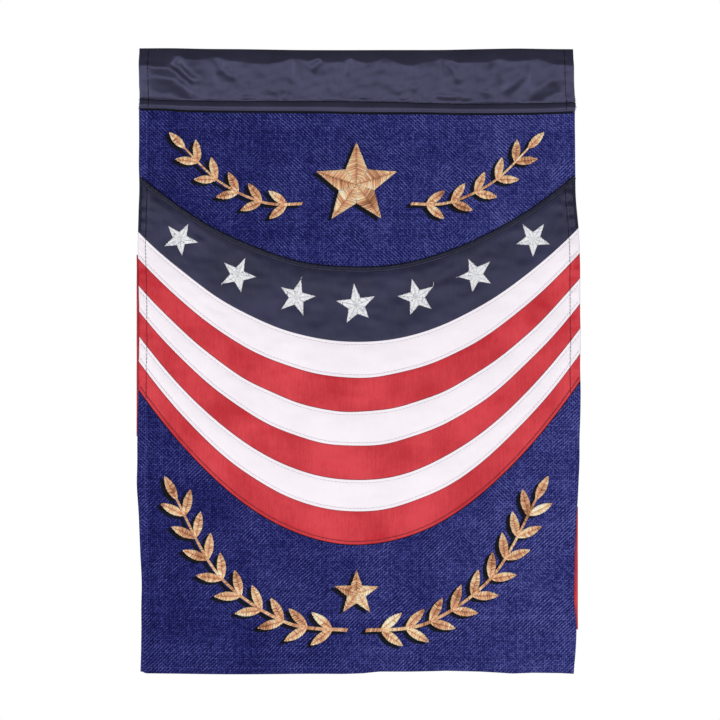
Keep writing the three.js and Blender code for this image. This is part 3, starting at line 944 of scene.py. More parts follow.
def embroider_leaf(threads, base, direction, design, ground, work, seed):
    t = np.linspace(0.03, 0.97, int(design["length"] / work["pitch"]))
    for way in (1, -1):
        rib, _ = leaf_curves(base, direction, design, way, np.clip(t - 0.02, 0, 1))
        _, edge = leaf_curves(base, direction, design, way, np.clip(t + 0.1 * (1 - t), 0, 1))
        edge = edge + RNG.normal(0, work["ragged"], edge.shape)
        rows = rib + work["shift"], edge + work["shift"]
        tint = gold_tint(rib, seed) + 0.05 * way
        look = {"points": work["points"], "vary": THREAD_VARY, "painted_light": LEAF_PAINTED_LIGHT}
        lay_threads(threads, *rows, ground, work["leaf"], work["pitch"] * 1.25, tint, **look)


def embroider_stem(threads, curve, design, ground, work, seed):
    even = resample(curve, work["pitch"])
    ahead, left = headings(even)
    share = np.linspace(0, 1, len(even))[:, None]
    half = design["stem"] / 2 * (1 - STEM_TAPER * share) * 1.1
    lean = ahead * 0.5
    rows = even - left * half - lean + work["shift"], even + left * half + lean + work["shift"]
    look = {"points": work["points"], "vary": THREAD_VARY, "painted_light": STEM_PAINTED_LIGHT}
    lay_threads(threads, *rows, ground, work["stem"], work["pitch"] * 1.3, gold_tint(even, seed), **look)


def embroider_stem_and_leaves(made, design, mirror, ground, seed):
    """A leafy stem and the dark threads of its cast shadow."""
    curve = catmull_rom([(mirror * x, z) for x, z in design["route"]])
    leaves = []
    for i in range(design["pairs"]):
        share = (i + BARE_FOOT) / (design["pairs"] + 1 - BARE_FOOT)
        leaves += [(share, LEAF_ANGLE), (share, -LEAF_ANGLE)]
    leaves.append((TIP_LEAF, 0.0))
    for kind, work in WORKS.items():
        seat = raised(ground, work["seat"])
        embroider_stem(made[kind], curve, design, seat, work, seed)
        for k, (share, turn) in enumerate(leaves):
            base, direction = along_curve(curve, share)
            embroider_leaf(made[kind], base, turned(direction, turn), design, seat, work, seed + k)


def star_facets(star, uneven):
    """Each facet as its centre, its waist corner and its tip, with 1 or -1 for its side.

    uneven holds a share of the radius for each of the ten corners, as hand-guided sewing leaves it.
    """
    centre = np.array([star["x"], star["z"]], float)

    def corner(step, reach):
        angle = star["turn"] + step * math.pi / 5
        return centre + reach * (1 + uneven[step % 10]) * np.array([math.sin(angle), math.cos(angle)])

    for i in range(5):
        tip = corner(2 * i, star["radius"])
        for way in (1, -1):
            yield centre, corner(2 * i + way, star["radius"] * star["waist"]), tip, way


def embroider_star(threads, star, uneven, ground, work):
    for centre, corner, tip, way in star_facets(star, uneven):
        count = int(np.linalg.norm(tip - centre) / work["pitch"])
        t = np.linspace(0.02, 0.985, count)[:, None]
        ridge = centre + (tip - centre) * t
        inner = centre + (corner - centre) * np.clip(t / FACET_BEND, 0, 1)
        outer = corner + (tip - corner) * np.clip((t - FACET_BEND) / (1 - FACET_BEND), 0, 1)
        edge = np.where(t < FACET_BEND, inner, outer) + RNG.normal(0, 0.1, (count, 2))
        rows = ridge + work["shift"], edge + work["shift"]
        tint = work["tint"](ridge) + 0.06 * way
        look = {"vary": work["vary"], "painted_light": work["painted_light"]}
        seat = raised(ground, work["seat"])
        lay_threads(threads, *rows, seat, work["lift"], work["pitch"] * 1.25, tint, **look)


# Shading


def linear(red, green, blue):
    """A colour as the photograph shows it, 0 to 255, in linear light, with its alpha."""
    shares = (v / 255 for v in (red, green, blue))
    return (*((s / 12.92) if s <= 10 / 255 else ((s + 0.055) / 1.055) ** 2.4 for s in shares), 1)


class Value:
    """A node's output. Arithmetic on it adds the nodes that work it out."""

    def __init__(self, graph, socket):
        self.graph = graph
        self.socket = socket

    def __add__(self, other):
        return self.graph.math("ADD", self, other)

    def __sub__(self, other):
        return self.graph.math("SUBTRACT", self, other)

    def __rsub__(self, other):
        return self.graph.math("SUBTRACT", other, self)

    def __mul__(self, other):
        return self.graph.math("MULTIPLY", self, other)

    def __truediv__(self, other):
        return self.graph.math("DIVIDE", self, other)


class Graph:
    """A material's node tree, with short ways to add nodes and to join them."""

    def __init__(self, name):
        self.material = bpy.data.materials.new(name)
        self.material.use_nodes = True
        self.tree = self.material.node_tree
        self.tree.nodes.clear()
        self.shader = self.tree.nodes.new("ShaderNodeBsdfPrincipled")
        output = self.tree.nodes.new("ShaderNodeOutputMaterial")
        self.tree.links.new(self.shader.outputs[0], output.inputs["Surface"])

    def join(self, value, socket):
        """Joins an output to a socket, or sets the socket to a plain value."""
        if isinstance(value, Value):
            self.tree.links.new(value.socket, socket)
        else:
            socket.default_value = value

    def node(self, kind, inputs, output=0, **settings):
        """Adds a node, joins or sets its inputs and gives one of its outputs."""
        node = self.tree.nodes.new(kind)
        for key, value in settings.items():
            setattr(node, key, value)
        for key, value in inputs.items():
            self.join(value, node.inputs[key])
        return Value(self, node.outputs[output])

    def math(self, operation, *values, clamp=False):
        return self.node("ShaderNodeMath", dict(enumerate(values)), operation=operation, use_clamp=clamp)

    def within(self, value, low, high):
        return self.math("MINIMUM", self.math("MAXIMUM", value, low), high)

    def mix(self, share, a, b):
        return self.node("ShaderNodeMix", {0: share, 6: a, 7: b}, 2, data_type="RGBA")

    def place(self):
        """The place on the piece, in millimetres."""
        place = self.node("ShaderNodeTexCoord", {}, "Object")
        return self.node("ShaderNodeVectorMath", {0: place, "Scale": 1 / MM}, operation="SCALE")

    def split(self, place):
        """x and z of a place."""
        parts = self.node("ShaderNodeSeparateXYZ", {0: place}).socket.node.outputs
        return Value(self, parts["X"]), Value(self, parts["Z"])

    def vector(self, x, y, z):
        return self.node("ShaderNodeCombineXYZ", {0: x, 1: y, 2: z})

    def noise(self, where, scale, detail=2.0, roughness=0.5):
        inputs = {"Vector": where, "Scale": scale, "Detail": detail, "Roughness": roughness}
        return self.node("ShaderNodeTexNoise", inputs)

    def random(self, value):
        return self.node("ShaderNodeTexWhiteNoise", {"W": value}, noise_dimensions="1D")

    def ramp(self, value, stops):
        """A colour between stops, each a place along the ramp and a colour from 0 to 255."""
        shade = self.node("ShaderNodeValToRGB", {0: value})
        band = shade.socket.node.color_ramp
        while len(band.elements) < len(stops):
            band.elements.new(0.5)
        for element, (place, colour) in zip(band.elements, stops.items()):
            element.position = place
            element.color = linear(*colour)
        return shade

    def bump(self, height, distance):
        return self.node("ShaderNodeBump", {"Strength": 1.0, "Distance": distance * MM, "Height": height})

    def finish(self, colour, roughness, normal=None, sheen=0.0, specular=0.5, gloss_tint=(1, 1, 1)):
        inputs = self.shader.inputs
        self.join(colour, inputs["Base Color"])
        inputs["Roughness"].default_value = roughness
        inputs["Sheen Weight"].default_value = sheen
        inputs["Sheen Roughness"].default_value = 0.4
        inputs["Specular IOR Level"].default_value = specular
        inputs["Specular Tint"].default_value = (*gloss_tint, 1)
        if normal is not None:
            self.join(normal, inputs["Normal"])
        return self.material


# Pitch of the burlap's threads, and its colours from the painted shade of the gaps between them to the
# painted light of their tops
WARP_PITCH = 1.42
WEFT_PITCH = 1.34
BURLAP_STOPS = {0.1: (4, 5, 62), 0.36: (26, 29, 96), 0.62: (55, 59, 128), 1.0: (106, 110, 180)}


def burlap_material():
    """Coarse plain weave: warp threads up and down, weft threads across, and gaps darkened with painted
    shade.
    """
    g = Graph("burlap")
    place = g.place()
    x, z = g.split(place)
    slow_x = g.noise(place, 0.035) * 3.0 + x
    slow_z = g.noise(g.vector(z, x, 7.0), 0.03) * 3.0 + z
    shiver_x = g.noise(g.vector(x, 0.0, z * 0.45), 0.42)
    shiver_z = g.noise(g.vector(x * 0.45, 9.0, z), 0.42)
    warp = (slow_x + shiver_x * 0.8) / WARP_PITCH
    weft = (slow_z + shiver_z * 0.75) / WEFT_PITCH
    warp_number = g.math("FLOOR", warp)
    weft_number = g.math("FLOOR", weft)

    def thread_height(along, across, number, seed, way):
        """A thread's height: it rises over each second thread that it crosses."""
        over = (g.math("MODULO", g.math("ABSOLUTE", number), 2.0) * -2.0 + 1.0) * way
        rise = over * g.math("COSINE", (across - 0.5) * math.pi)
        fullness = g.random(number + seed) * 0.1 + 0.4
        share = g.math("ABSOLUTE", g.math("FRACT", along) - 0.5) / fullness
        return rise * 0.5 + (1.0 - share * share)

    warp_height = thread_height(warp, weft, warp_number, 0.37, 1.0)
    weft_height = thread_height(weft, warp, weft_number, 91.3, -1.0)
    height = g.math("MAXIMUM", g.math("MAXIMUM", warp_height, weft_height), -0.3)
    fibre = g.noise(g.vector(x * 5.0, 0.0, z * 5.0), 1.0, 3.0, 0.6)
    # Painted highlights in diagonal lines that fall to the right in some patches and rise in others, slanting
    # along the threads' tops
    falling = g.math("COSINE", (warp + weft) * math.pi)
    rising = g.math("COSINE", (warp - weft) * math.pi)
    share = g.within((g.noise(place, 0.03) - 0.5) * 2.6 + 1.0 + z * 0.002, 0.22, 0.78)
    slanted_highlight = falling * share + rising * (1.0 - share)
    strong = g.within((g.noise(g.vector(z, 4.0, x), 0.035) - 0.5) * 0.9 + 0.27, 0.14, 0.35)
    cell = g.random(warp_number * 17.31 + weft_number)
    yarn = g.random(warp_number) + g.random(weft_number + 500.0)
    left_hem = g.math("SUBTRACT", LEFT_HEM - WIDTH / 2, x, clamp=True)
    # The threads' height paints shade into the gaps and light onto their tops, and the slanted lines are
    # painted highlights
    lit = height * 0.32 + fibre * 0.26 + slanted_highlight * strong + (cell - 0.5) * 0.32 + (yarn - 1.0) * 0.07
    # The x * 0.0007 term paints light: the cloth is painted lighter towards the right
    lit = lit + (g.noise(place, 0.035) - 0.5) * 0.3 + x * 0.0007 + left_hem * 0.1
    normal = g.bump(height + fibre * 0.3, 0.28)
    return g.finish(g.ramp(lit, BURLAP_STOPS), 0.85, normal, sheen=0.05, specular=0.15)


def taffeta_material(name, light, dark, ghost=0.0, roughness=0.5, specular=0.5, gloss_tint=(1, 1, 1)):
    """Fine smooth cloth. Ghost is how much the coarse weave under it shows."""
    g = Graph(name)
    place = g.place()
    x, z = g.split(place)
    cloud = g.noise(place, 0.028, 3.0, 0.55)
    fine = g.noise(g.vector(x * 1.9, 0.0, z * 0.3), 1.0, 3.0, 0.6)
    fine_across = g.noise(g.vector(x * 0.3, 3.0, z * 1.9), 1.0, 3.0, 0.6)
    streak = g.noise(g.vector(x * 0.6, 5.0, z * 0.06), 1.0)
    share = (cloud - 0.5) * 2.6 + 0.5 + (fine - 0.5) * (0.5 + ghost) + (fine_across - 0.5) * 0.35
    share = g.math("ADD", share, (streak - 0.5) * (0.3 + 0.8 * ghost), clamp=True)
    turn = 2 * math.pi / 0.36
    weave = (g.math("SINE", x * turn) + g.math("SINE", z * (turn * 1.1))) * 0.5
    height = weave * 0.25 + fine * (1.0 + 2 * ghost) + streak * (2.0 + 3 * ghost)
    colour = g.mix(share, linear(*dark), linear(*light))
    normal = g.bump(height, 0.035)
    return g.finish(colour, roughness, normal, specular=specular, gloss_tint=gloss_tint)


def thread_material(name, stops, roughness=0.4, specular=0.5, sheen=0.15):
    """Twisted thread, its colour set by the tint along it."""
    g = Graph(name)
    tint = g.node("ShaderNodeAttribute", {}, "Fac", attribute_name="tint")
    speck = g.noise(g.place(), 2.4)
    share = g.math("ADD", tint, (speck - 0.5) * 0.35, clamp=True)
    return g.finish(g.ramp(share, stops), roughness, g.bump(speck, 0.05), sheen=sheen, specular=specular)


def plain_material(name, colour, roughness):
    g = Graph(name)
    grain = g.noise(g.place(), 0.02)
    dim = tuple(v * 0.97 for v in colour)
    return g.finish(g.mix(grain, (*dim, 1), (*colour, 1)), roughness, specular=0.2)


# Camera, light and floor

PIXEL = 0.732
VIEW_WIDTH = 720 * PIXEL
LENS = 100
SENSOR = 36
AIM = (2.5, -227.3)
# Area lights, in metres: place, what they aim at, size and power
LIGHTS = {
    "left": ((-1.25, -1.35, -0.35), (0, 0, -0.23), (0.9, 1.1), 12),
    "right": ((1.3, -1.4, -0.5), (0, 0, -0.23), (0.9, 1.1), 12.5),
    "front": ((0.0, -1.9, -0.5), (0, 0, -0.25), (1.0, 0.8), 9),
    "rear": ((0.3, 1.6, -0.3), (0, 0, -0.23), (1.4, 1.2), 18),
}
SKY_LIGHT = 0.22
SKY_SEEN = 1.0
FLOOR = {"rings": 6, "spokes": 64, "radius": 1100.0, "height": -760.0}


def make_camera():
    data = bpy.data.cameras.new("camera")
    data.lens = LENS
    data.sensor_width = SENSOR
    camera = bpy.data.objects.new("camera", data)
    distance = VIEW_WIDTH * LENS / SENSOR
    camera.location = (AIM[0] * MM, -distance * MM, AIM[1] * MM)
    camera.rotation_euler = (math.pi / 2, 0, 0)
    bpy.context.scene.collection.objects.link(camera)
    bpy.context.scene.camera = camera


def area_light(name, place, aim, size, power):
    data = bpy.data.lights.new(name, "AREA")
    data.shape = "RECTANGLE"
    data.size, data.size_y = size
    data.energy = power
    light = bpy.data.objects.new(name, data)
    light.location = place
    light.rotation_euler = (Vector(aim) - Vector(place)).to_track_quat("-Z", "Y").to_euler()
    bpy.context.scene.collection.objects.link(light)


def make_world():
    """A dim white sky that lights the flag, and a bright one that is seen behind it."""
    world = bpy.data.worlds.new("studio")
    bpy.context.scene.world = world
    world.use_nodes = True
    tree = world.node_tree
    tree.nodes.clear()
    mix = tree.nodes.new("ShaderNodeMixShader")
    seen = tree.nodes.new("ShaderNodeLightPath").outputs["Is Camera Ray"]
    tree.links.new(seen, mix.inputs[0])
    for slot, strength in ((1, SKY_LIGHT), (2, SKY_SEEN)):
        sky = tree.nodes.new("ShaderNodeBackground")
        sky.inputs[0].default_value = (1, 1, 1, 1)
        sky.inputs[1].default_value = strength
        tree.links.new(sky.outputs[0], mix.inputs[slot])
    output = tree.nodes.new("ShaderNodeOutputWorld")
    tree.links.new(mix.outputs[0], output.inputs[0])


def make_floor():
    """A round pale floor, far enough down to leave the view of the flag clear."""
    rings, spokes = FLOOR["rings"], FLOOR["spokes"]
    verts = [(0.0, 0.0, FLOOR["height"])]
    for r in range(1, rings + 1):
        reach = FLOOR["radius"] * r / rings
        for s in range(spokes):
            angle = 2 * math.pi * s / spokes
            verts.append((reach * math.cos(angle), reach * math.sin(angle), FLOOR["height"]))
    faces = [(0, 1 + s, 1 + (s + 1) % spokes) for s in range(spokes)]
    for r in range(rings - 1):
        for s in range(spokes):
            a, b = 1 + r * spokes + s, 1 + r * spokes + (s + 1) % spokes
            faces.append((a, a + spokes, b + spokes, b))
    floor = mesh_object("floor", np.array(verts), faces)
    floor.data.materials.append(plain_material("pale_floor", (0.86, 0.86, 0.85), 0.7))


make_camera()
make_world()
make_floor()
for name, facts in LIGHTS.items():
    area_light(name, *facts)
bpy.context.scene.view_settings.view_transform = "Standard"

# Materials

GOLD_STOPS = {
    0.0: (152, 96, 58),
    0.22: (208, 142, 92),
    0.42: (228, 168, 136),
    0.6: (240, 194, 142),
    0.82: (255, 230, 182),
    1.0: (255, 246, 222),
}
SILVER_STOPS = {0.0: (160, 160, 178), 0.35: (248, 248, 254), 1.0: (255, 255, 255)}
DARK_STOPS = {0.0: (6, 8, 16), 1.0: (22, 24, 38)}
SATIN_STOPS = {0.0: (22, 23, 42), 1.0: (50, 52, 76)}
HEM_STOPS = {0.0: (70, 68, 80), 1.0: (136, 133, 144)}
GREY_STOPS = {0.0: (190, 187, 196), 1.0: (226, 222, 231)}
DEEP_RED_STOPS = {0.0: (112, 6, 20), 1.0: (172, 20, 36)}
BLUE_STOPS = {0.0: (56, 60, 138), 1.0: (108, 114, 204)}
SLEEVE_LOOK = {"roughness": 0.42, "specular": 0.85, "gloss_tint": (0.54, 0.55, 0.98)}
NAVY_LOOK = {"ghost": 0.4, "roughness": 0.44, "specular": 0.5, "gloss_tint": (0.72, 0.72, 1.0)}
RED_LOOK = {"ghost": 0.7, "roughness": 0.46, "specular": 0.28}

burlap = burlap_material()
sleeve_cloth = taffeta_material("sleeve_taffeta", (42, 42, 58), (30, 30, 43), **SLEEVE_LOOK)
navy_cloth = taffeta_material("navy_taffeta", (30, 31, 62), (16, 16, 42), **NAVY_LOOK)
red_cloth = taffeta_material("red_taffeta", (218, 57, 68), (190, 22, 38), **RED_LOOK)
white_cloth = taffeta_material("white_taffeta", (252, 244, 251), (246, 238, 246))
gold = thread_material("gold_thread", GOLD_STOPS)
silver = thread_material("silver_thread", SILVER_STOPS)
dark = thread_material("dark_thread", DARK_STOPS, roughness=0.6, specular=0.2, sheen=0.0)
satin_edge = thread_material("satin_edge_thread", SATIN_STOPS, specular=0.3, sheen=0.0)
grey = thread_material("grey_thread", GREY_STOPS, roughness=0.6)
hem_grey = thread_material("hem_thread", HEM_STOPS, roughness=0.6, specular=0.3)
deep_red = thread_material("deep_red_thread", DEEP_RED_STOPS, roughness=0.6, specular=0.3)
blue = thread_material("blue_thread", BLUE_STOPS, roughness=0.7, specular=0.15, sheen=0.0)


def finish_piece(obj, material, slot, *nodes):
    """Gives a piece its material, and hides the solids that it stands for. Its slot is not used."""
    if nodes:
        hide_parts(*nodes)
    obj.data.materials.append(material)
    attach(obj, "root")
    return obj


# The two burlap layers, the back one a little smaller, and the sleeve
burlap_front = finish_piece(make_burlap("burlap_front", 0.0, -1), burlap, "burlap_blue", "panel_front")
burlap_back = finish_piece(make_burlap("burlap_back", 0.5, 1), burlap, "burlap_blue", "panel_back")
sleeve = finish_piece(make_sleeve(), sleeve_cloth, "sleeve_navy", "rod_sleeve")

# The swag
navy_lower = swag_line("navy", -UNDERLAP)
navy_band = make_band("navy_cloth", PATCH, swag_line("top"), navy_lower, CELLS["band"])
red_upper = swag_line("navy", -UNDERLAP - 0.3)
red_ground = make_band("red_cloth", PATCH, red_upper, swag_line("bottom"), CELLS["band"])
finish_piece(navy_band, navy_cloth, "cloth_navy", "navy_band")
finish_piece(red_ground, red_cloth, "cloth_red", "red_ground")
for node, (upper, lower) in WHITE_BANDS.items():
    band = make_band(node + "_cloth", OVERLAY, swag_line(upper), swag_line(lower), CELLS["overlay"])
    finish_piece(band, white_cloth, "cloth_white", node)

# The band behind: its left and right ends, the heights of its edges there, and its slope's cosine
BACK_BAND = {"left": -161.2, "right": 162.2, "upper": (-150, -335), "lower": (-283, -425)}
BACK_BAND_WIDE = BACK_BAND["right"] - BACK_BAND["left"]
BACK_BAND_COSINE = 0.87


def back_band_line(edge, x):
    at_left, at_right = BACK_BAND[edge]
    return at_left + (at_right - at_left) * (x - BACK_BAND["left"]) / BACK_BAND_WIDE


def back_band_edge(x, z):
    """How far inside the band's upper and lower edges a place is."""
    return np.minimum(back_band_line("upper", x) - z, z - back_band_line("lower", x)) * BACK_BAND_COSINE


def back_band_face(x, z):
    """Distance of the band's face behind the mid-plane."""
    loose = 0.4 + 0.3 * slack_field(x + 500, z) + 0.12 * small_slack(x, z)
    loose = np.maximum(loose, 0.05) * (1 - bell(np.abs(back_band_edge(x, z) - EDGE_TO_STITCH), 3))
    for inside in hem_lines(x, z)[:2]:
        loose = loose * (1 - 0.9 * bell(inside, 3))
    return PATCH["near"] + np.minimum(hem_out(x, z), 0.6) + loose


def make_back_band():
    flat_x = BACK_BAND["left"] + edge_steps(BACK_BAND_WIDE, CELLS["back"], HEM_CELLS)
    upper, lower = back_band_line("upper", flat_x), back_band_line("lower", flat_x)
    tall = float(np.mean(upper - lower))
    v = edge_steps(tall, CELLS["back"]) / tall
    x = np.repeat(flat_x[None, :], len(v), axis=0)
    z = upper[None, :] + v[:, None] * (lower - upper)[None, :]
    face = back_band_face(x, z)
    side = np.minimum(x - BACK_BAND["left"], BACK_BAND["right"] - x)
    full = rounded(np.maximum(np.minimum(back_band_edge(x, z), side), 0), 0.7)
    under = face - PATCH["thick"]
    return slab("red_back_cloth", x, z, drape(x, z) + under, drape(x, z) + under + (face - under) * full)


red_back = finish_piece(make_back_band(), red_cloth, "cloth_red", "red_back_band")

# Topstitching


def front_cloth(x, z):
    """Which cloth lies foremost at a place on the front."""
    kind = np.full(np.shape(x), "burlap", dtype=object)
    kind[(from_seam("top", x, z) < 0) & (from_seam("bottom", x, z) > 0)] = "red"
    kind[(from_seam("top", x, z) < 0) & (from_seam("navy", x, z) > 0)] = "navy"
    for upper, lower in WHITE_BANDS.values():
        kind[(from_seam(upper, x, z) < 0) & (from_seam(lower, x, z) > 0)] = "white"
    return kind


def hem_cloth(x, z):
    """The same for the side hems, whose thread is darker on the white cloths."""
    kind = front_cloth(x, z)
    kind[kind == "white"] = "hem"
    return kind


def back_cloth(x, z):
    return np.where(back_band_edge(x, z) > 0, "red", "burlap").astype(object)


def sleeve_kind(x, z):
    return np.full(np.shape(x), "sleeve", dtype=object)


def top_surface(x, z):
    """The foremost surface of the front at a place."""
    kind = front_cloth(x, z)
    y = np.where(kind == "white", overlay_ground(x, z), patch_ground(x, z))
    return np.where(kind == "burlap", front_ground(x, z), y)


def back_surface(x, z):
    """The rearmost surface of the back at a place."""
    face = np.where(back_band_edge(x, z) > 0, back_band_face(x, z), burlap_face(x, z) - 0.2)
    return drape(x, z) + face


def within_edges(line, inset):
    """The part of a line that lies inside the side edges."""
    inside = (line[:, 0] > left_edge(line[:, 1]) + inset) & (line[:, 0] < right_edge(line[:, 1]) - inset)
    return line[inside]


def swag_run(seam, above, inset):
    """A line beside a seam, from side edge to side edge."""
    x = np.arange(-164, 164.5, STEP)
    return within_edges(path(x, swag_line(seam, above)(x)), inset)


# Spacing of the points along a row of stitches, and how far inside the side edges a row stops
STEP = 0.5
ROW_INSET = 1.2
THREAD_LOOKS = {
    "hem": (hem_grey, "thread_dark"),
    "white": (grey, "cloth_white"),
    "navy": (dark, "thread_dark"),
    "red": (deep_red, "cloth_red"),
    "burlap": (blue, "burlap_blue"),
}
side_z = np.arange(-47.5, -455, -STEP)
hem_x = np.arange(-156, 157, STEP)
bottom_rows = [path(hem_x, hem_height(hem_x) + up) for up in (BOTTOM_HEM, BOTTOM_TOPSTITCH)]

front_rows = {kind: Threads("stitches_on_" + kind) for kind in THREAD_LOOKS}
for seam, (_, _, above) in SEAMS.items():
    stitch_row(front_rows, swag_run(seam, above, ROW_INSET), front_cloth, top_surface)
for x in (left_edge(side_z) + LEFT_HEM, right_edge(side_z) - RIGHT_HEM):
    stitch_row(front_rows, path(x, side_z), hem_cloth, top_surface)
for line in bottom_rows:
    stitch_row(front_rows, line, front_cloth, front_ground)
for kind, threads in front_rows.items():
    finish_piece(threads.build(), *THREAD_LOOKS[kind])

back_rows = {kind: Threads("back_stitches_on_" + kind) for kind in ("red", "burlap")}
back_lines = [path(x, side_z) for x in (left_edge(side_z) + LEFT_HEM, right_edge(side_z) - LEFT_HEM)]
back_lines += bottom_rows
for edge, above in (("upper", -EDGE_TO_STITCH), ("lower", EDGE_TO_STITCH)):
    band_x = np.arange(-160, 160.5, STEP)
    back_lines.append(path(band_x, back_band_line(edge, band_x) + above / BACK_BAND_COSINE))
for line in back_lines:
    stitch_row(back_rows, line, back_cloth, back_surface, out=1)
for kind, threads in back_rows.items():
    finish_piece(threads.build(), *THREAD_LOOKS[kind])

# Stitches of the sleeve: under the pocket and down both side hems, on the front and on the back
under_x = np.arange(-158, 159, STEP)
down_z = np.arange(-1.0, -45.2, -STEP)
sleeve_lines = [
    path(under_x, STITCH_LINE - seam_sag(under_x)),
    path(sleeve_left(down_z) + SLEEVE_SIDE_HEM, down_z),
    path(sleeve_right(down_z) - SLEEVE_SIDE_HEM, down_z),
]
sleeve_rows = {"sleeve": Threads("sleeve_stitches")}
for side, out in (("front", -1), ("back", 1)):
    for line in sleeve_lines:
        line = line[line[:, 1] > SLEEVE_FOOT - foot_sag(line[:, 0]) + 0.4]
        stitch_row(sleeve_rows, line, sleeve_kind, sleeve_side(side, out), out)
finish_piece(sleeve_rows["sleeve"].build(), dark, "thread_dark")

# Radius of each cord of thread, and how far inside the side edges it stops
CORDS = {"white": 0.32, "red": 0.3, "red_edge_shadow": 0.34, "foot": 0.42, "foot_painted_shadow": 0.45, "rim": 0.5}
CORD_INSET = 0.6

# Thin lines of thread that bind the raw edges of the sewn-on cloths, and that also paint the shade along
# those edges
bindings_and_edge_shade = Threads("edge_bindings_and_shade")
for upper, lower in WHITE_BANDS.values():
    for seam, above in ((upper, 0.15), (lower, -0.15)):
        if seam != "navy":
            lay_cord(bindings_and_edge_shade, swag_run(seam, above, CORD_INSET), patch_ground, CORDS["white"])
lay_cord(bindings_and_edge_shade, swag_run("bottom", -0.1, CORD_INSET), front_ground, CORDS["red"])
finish_piece(bindings_and_edge_shade.build(), deep_red, "cloth_red")
# Painted shadow: a dark thread just under the red cloth's lower edge, for the shade under that edge
red_edge_shadow = Threads("red_edge_painted_shadow")
lay_cord(red_edge_shadow, swag_run("bottom", -0.5, CORD_INSET), front_ground, CORDS["red_edge_shadow"])
finish_piece(red_edge_shadow.build(), dark, "thread_dark")


def back_ground(x, z):
    return drape(x, z) + BURLAP["near"]


# A dark thread closes the sleeve's foot on both sides, and a second dark thread close under it in front is
# painted shadow, for the shade below the foot
foot_x = np.arange(-158, 158.5, STEP)
foot = path(foot_x, SLEEVE_FOOT - foot_sag(foot_x) - 0.1)
closing = Threads("sleeve_foot_binding")
lay_cord(closing, foot, front_ground, CORDS["foot"])
# Painted shadow: this dark thread under the foot stands for the shade that the foot casts
lay_cord(closing, foot - [0, 0.85], front_ground, CORDS["foot_painted_shadow"])
lay_cord(closing, foot, back_ground, CORDS["foot"], out=1)
finish_piece(closing.build(), dark, "thread_dark")

# The navy cloth's upper edge is bound in dark satin stitch, and dark satin strips down its sides are painted
# shade where its side edges roll away from the light: how far it reaches in from each and out past them, how
# high it arches, and its thread's width and pitch
SATIN = {"top": 2.3, "side": 1.3, "out": 0.35, "lift": 0.42, "width": 0.62, "pitch": 0.5}


def satin_stitch(threads, line, wide):
    """Close threads across a line, from just outside it to its inner side, on the right of its way."""
    run = resample(line, SATIN["pitch"])
    ahead, left = headings(run)
    ragged = RNG.normal(0, 0.08, (len(run), 1))
    outer = run + left * (SATIN["out"] + ragged)
    inner = run - left * (wide + ragged) + ahead * 0.35
    tint = np.full(len(run), 0.5)
    lay_threads(threads, outer, inner, patch_ground, SATIN["lift"], SATIN["width"], tint, vary=THREAD_VARY)
    return run + left * 0.4


satin_and_side_shade = Threads("navy_satin_edge_and_side_shade")
satin_rim = Threads("navy_edge_cord")
rim = satin_stitch(satin_and_side_shade, swag_run("top", 0.0, 1.3), SATIN["top"])
lay_cord(satin_rim, within_edges(rim, ROW_INSET), front_ground, CORDS["rim"])
# Painted shade: the strips down the side edges stand for the shade where the navy cloth rolls away
for edge, inset, way in ((left_edge, 1.0, 1), (right_edge, -1.0, -1)):
    z = np.arange(-135, -84, 0.4)[::way]
    x = edge(z) + inset
    on_navy = (from_seam("top", x, z) < -1.5) & (from_seam("navy", x, z) > 0.8)
    satin_stitch(satin_and_side_shade, path(x, z)[on_navy], SATIN["side"])
finish_piece(satin_and_side_shade.build(), satin_edge, "thread_dark")
finish_piece(satin_rim.build(), dark, "thread_dark")

# Embroidery of the front


def motif_threads(name):
    return {kind: Threads(f"{name}_{kind}") for kind in WORKS}


def finish_gold(made, node):
    finish_piece(made["thread"].build(), gold, "thread_gold", node)
    finish_piece(made["shade"].build(), dark, "thread_dark")


for side, mirror in (("left", 1), ("right", -1)):
    for k, (kind, design) in enumerate(STEMS.items()):
        made = motif_threads(f"{kind}_{side}")
        seed = 200 + 40 * k + (1 - mirror) * 9
        embroider_stem_and_leaves(made, design, mirror, front_ground, seed)
        finish_gold(made, f"{kind}_{side}")

for name, star in GOLD_STARS.items():
    made = motif_threads(name)
    for kind, threads in made.items():
        embroider_star(threads, star, np.zeros(10), front_ground, STAR_WORKS[kind])
    finish_gold(made, name)

# The small stars are sewn by hand: how uneven their corners are, and how far they turn
STAR_UNEVEN = 0.045
STAR_TURN = 0.06
for i, star in enumerate(SMALL_STARS):
    threads = Threads(f"star_{i + 1}_thread")
    uneven = RNG.normal(0, STAR_UNEVEN, 10)
    star["turn"] += RNG.normal(0, STAR_TURN)
    embroider_star(threads, star, uneven, patch_ground, STAR_WORKS["silver"])
    finish_piece(threads.build(), silver, "thread_silver", f"star_{i + 1}")

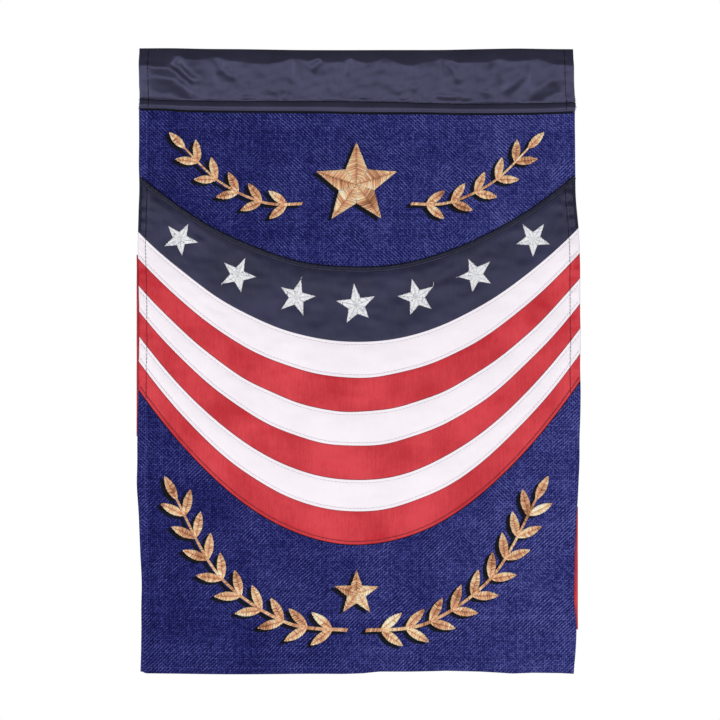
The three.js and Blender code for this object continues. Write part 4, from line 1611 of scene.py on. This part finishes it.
# Frayed threads at the sleeve's lower corners, nine at the right and three at the left: how their
# directions spread, the range of their lengths, and how far inside the edge they start
FRAY = {"spread": 0.4, "lengths": (0.8, 1.7), "inset": 0.5}
fray_z = np.concatenate([np.linspace(-34.5, -44.8, 9), np.linspace(-37, -43, 3)])
at_right = np.arange(len(fray_z)) < 9
fray_x = np.where(at_right, sleeve_right(fray_z) - FRAY["inset"], sleeve_left(fray_z) + FRAY["inset"])
fray_way = np.where(at_right, 0.0, math.pi) + RNG.normal(0, FRAY["spread"], len(fray_z))
fray_length = RNG.uniform(*FRAY["lengths"], len(fray_z))
fray = Threads("frayed_sleeve_corners")
loose_ends(fray, path(fray_x, fray_z), fray_way, fray_length, sleeve_side("front", -1))
finish_piece(fray.build(), satin_edge, "thread_dark")

# Loose threads at a few tips of the small stars: the star's number, the tip's and the thread's length
STAR_TAILS = [(1, 3, 1.2), (4, 1, 3.6), (5, 4, 1.4), (2, 0, 1.8)]
tail_starts, tail_ways = [], []
for number, tip, _ in STAR_TAILS:
    star = SMALL_STARS[number]
    angle = star["turn"] + 2 * tip * math.pi / 5
    reach = star["radius"]
    tail_starts.append((star["x"] + reach * math.sin(angle), star["z"] + reach * math.cos(angle)))
    tail_ways.append(math.pi / 2 - angle + 0.5)
tails = Threads("star_thread_ends")
loose_ends(tails, tail_starts, tail_ways, [length for _, _, length in STAR_TAILS], patch_ground)
finish_piece(tails.build(), silver, "thread_silver")

# The cloths, with the size that each was cut to


def metres(*sizes):
    return tuple(float(size) * MM for size in sizes)


def band_cut(upper, lower):
    """Length along its middle and mean width of a cloth between two lines."""
    x = np.linspace(-WIDTH / 2, WIDTH / 2, 400)
    middle = (upper(x) + lower(x)) / 2
    length = np.hypot(np.diff(x), np.diff(middle)).sum()
    return metres(length, np.mean(upper(x) - lower(x)) * WIDTH / length)


swag_cuts = {
    navy_band: band_cut(swag_line("top"), navy_lower),
    red_ground: band_cut(navy_lower, swag_line("bottom")),
}
back_cut = band_cut(lambda x: back_band_line("upper", x), lambda x: back_band_line("lower", x))
for node, (upper, lower) in WHITE_BANDS.items():
    cut = band_cut(swag_line(upper), swag_line(lower))
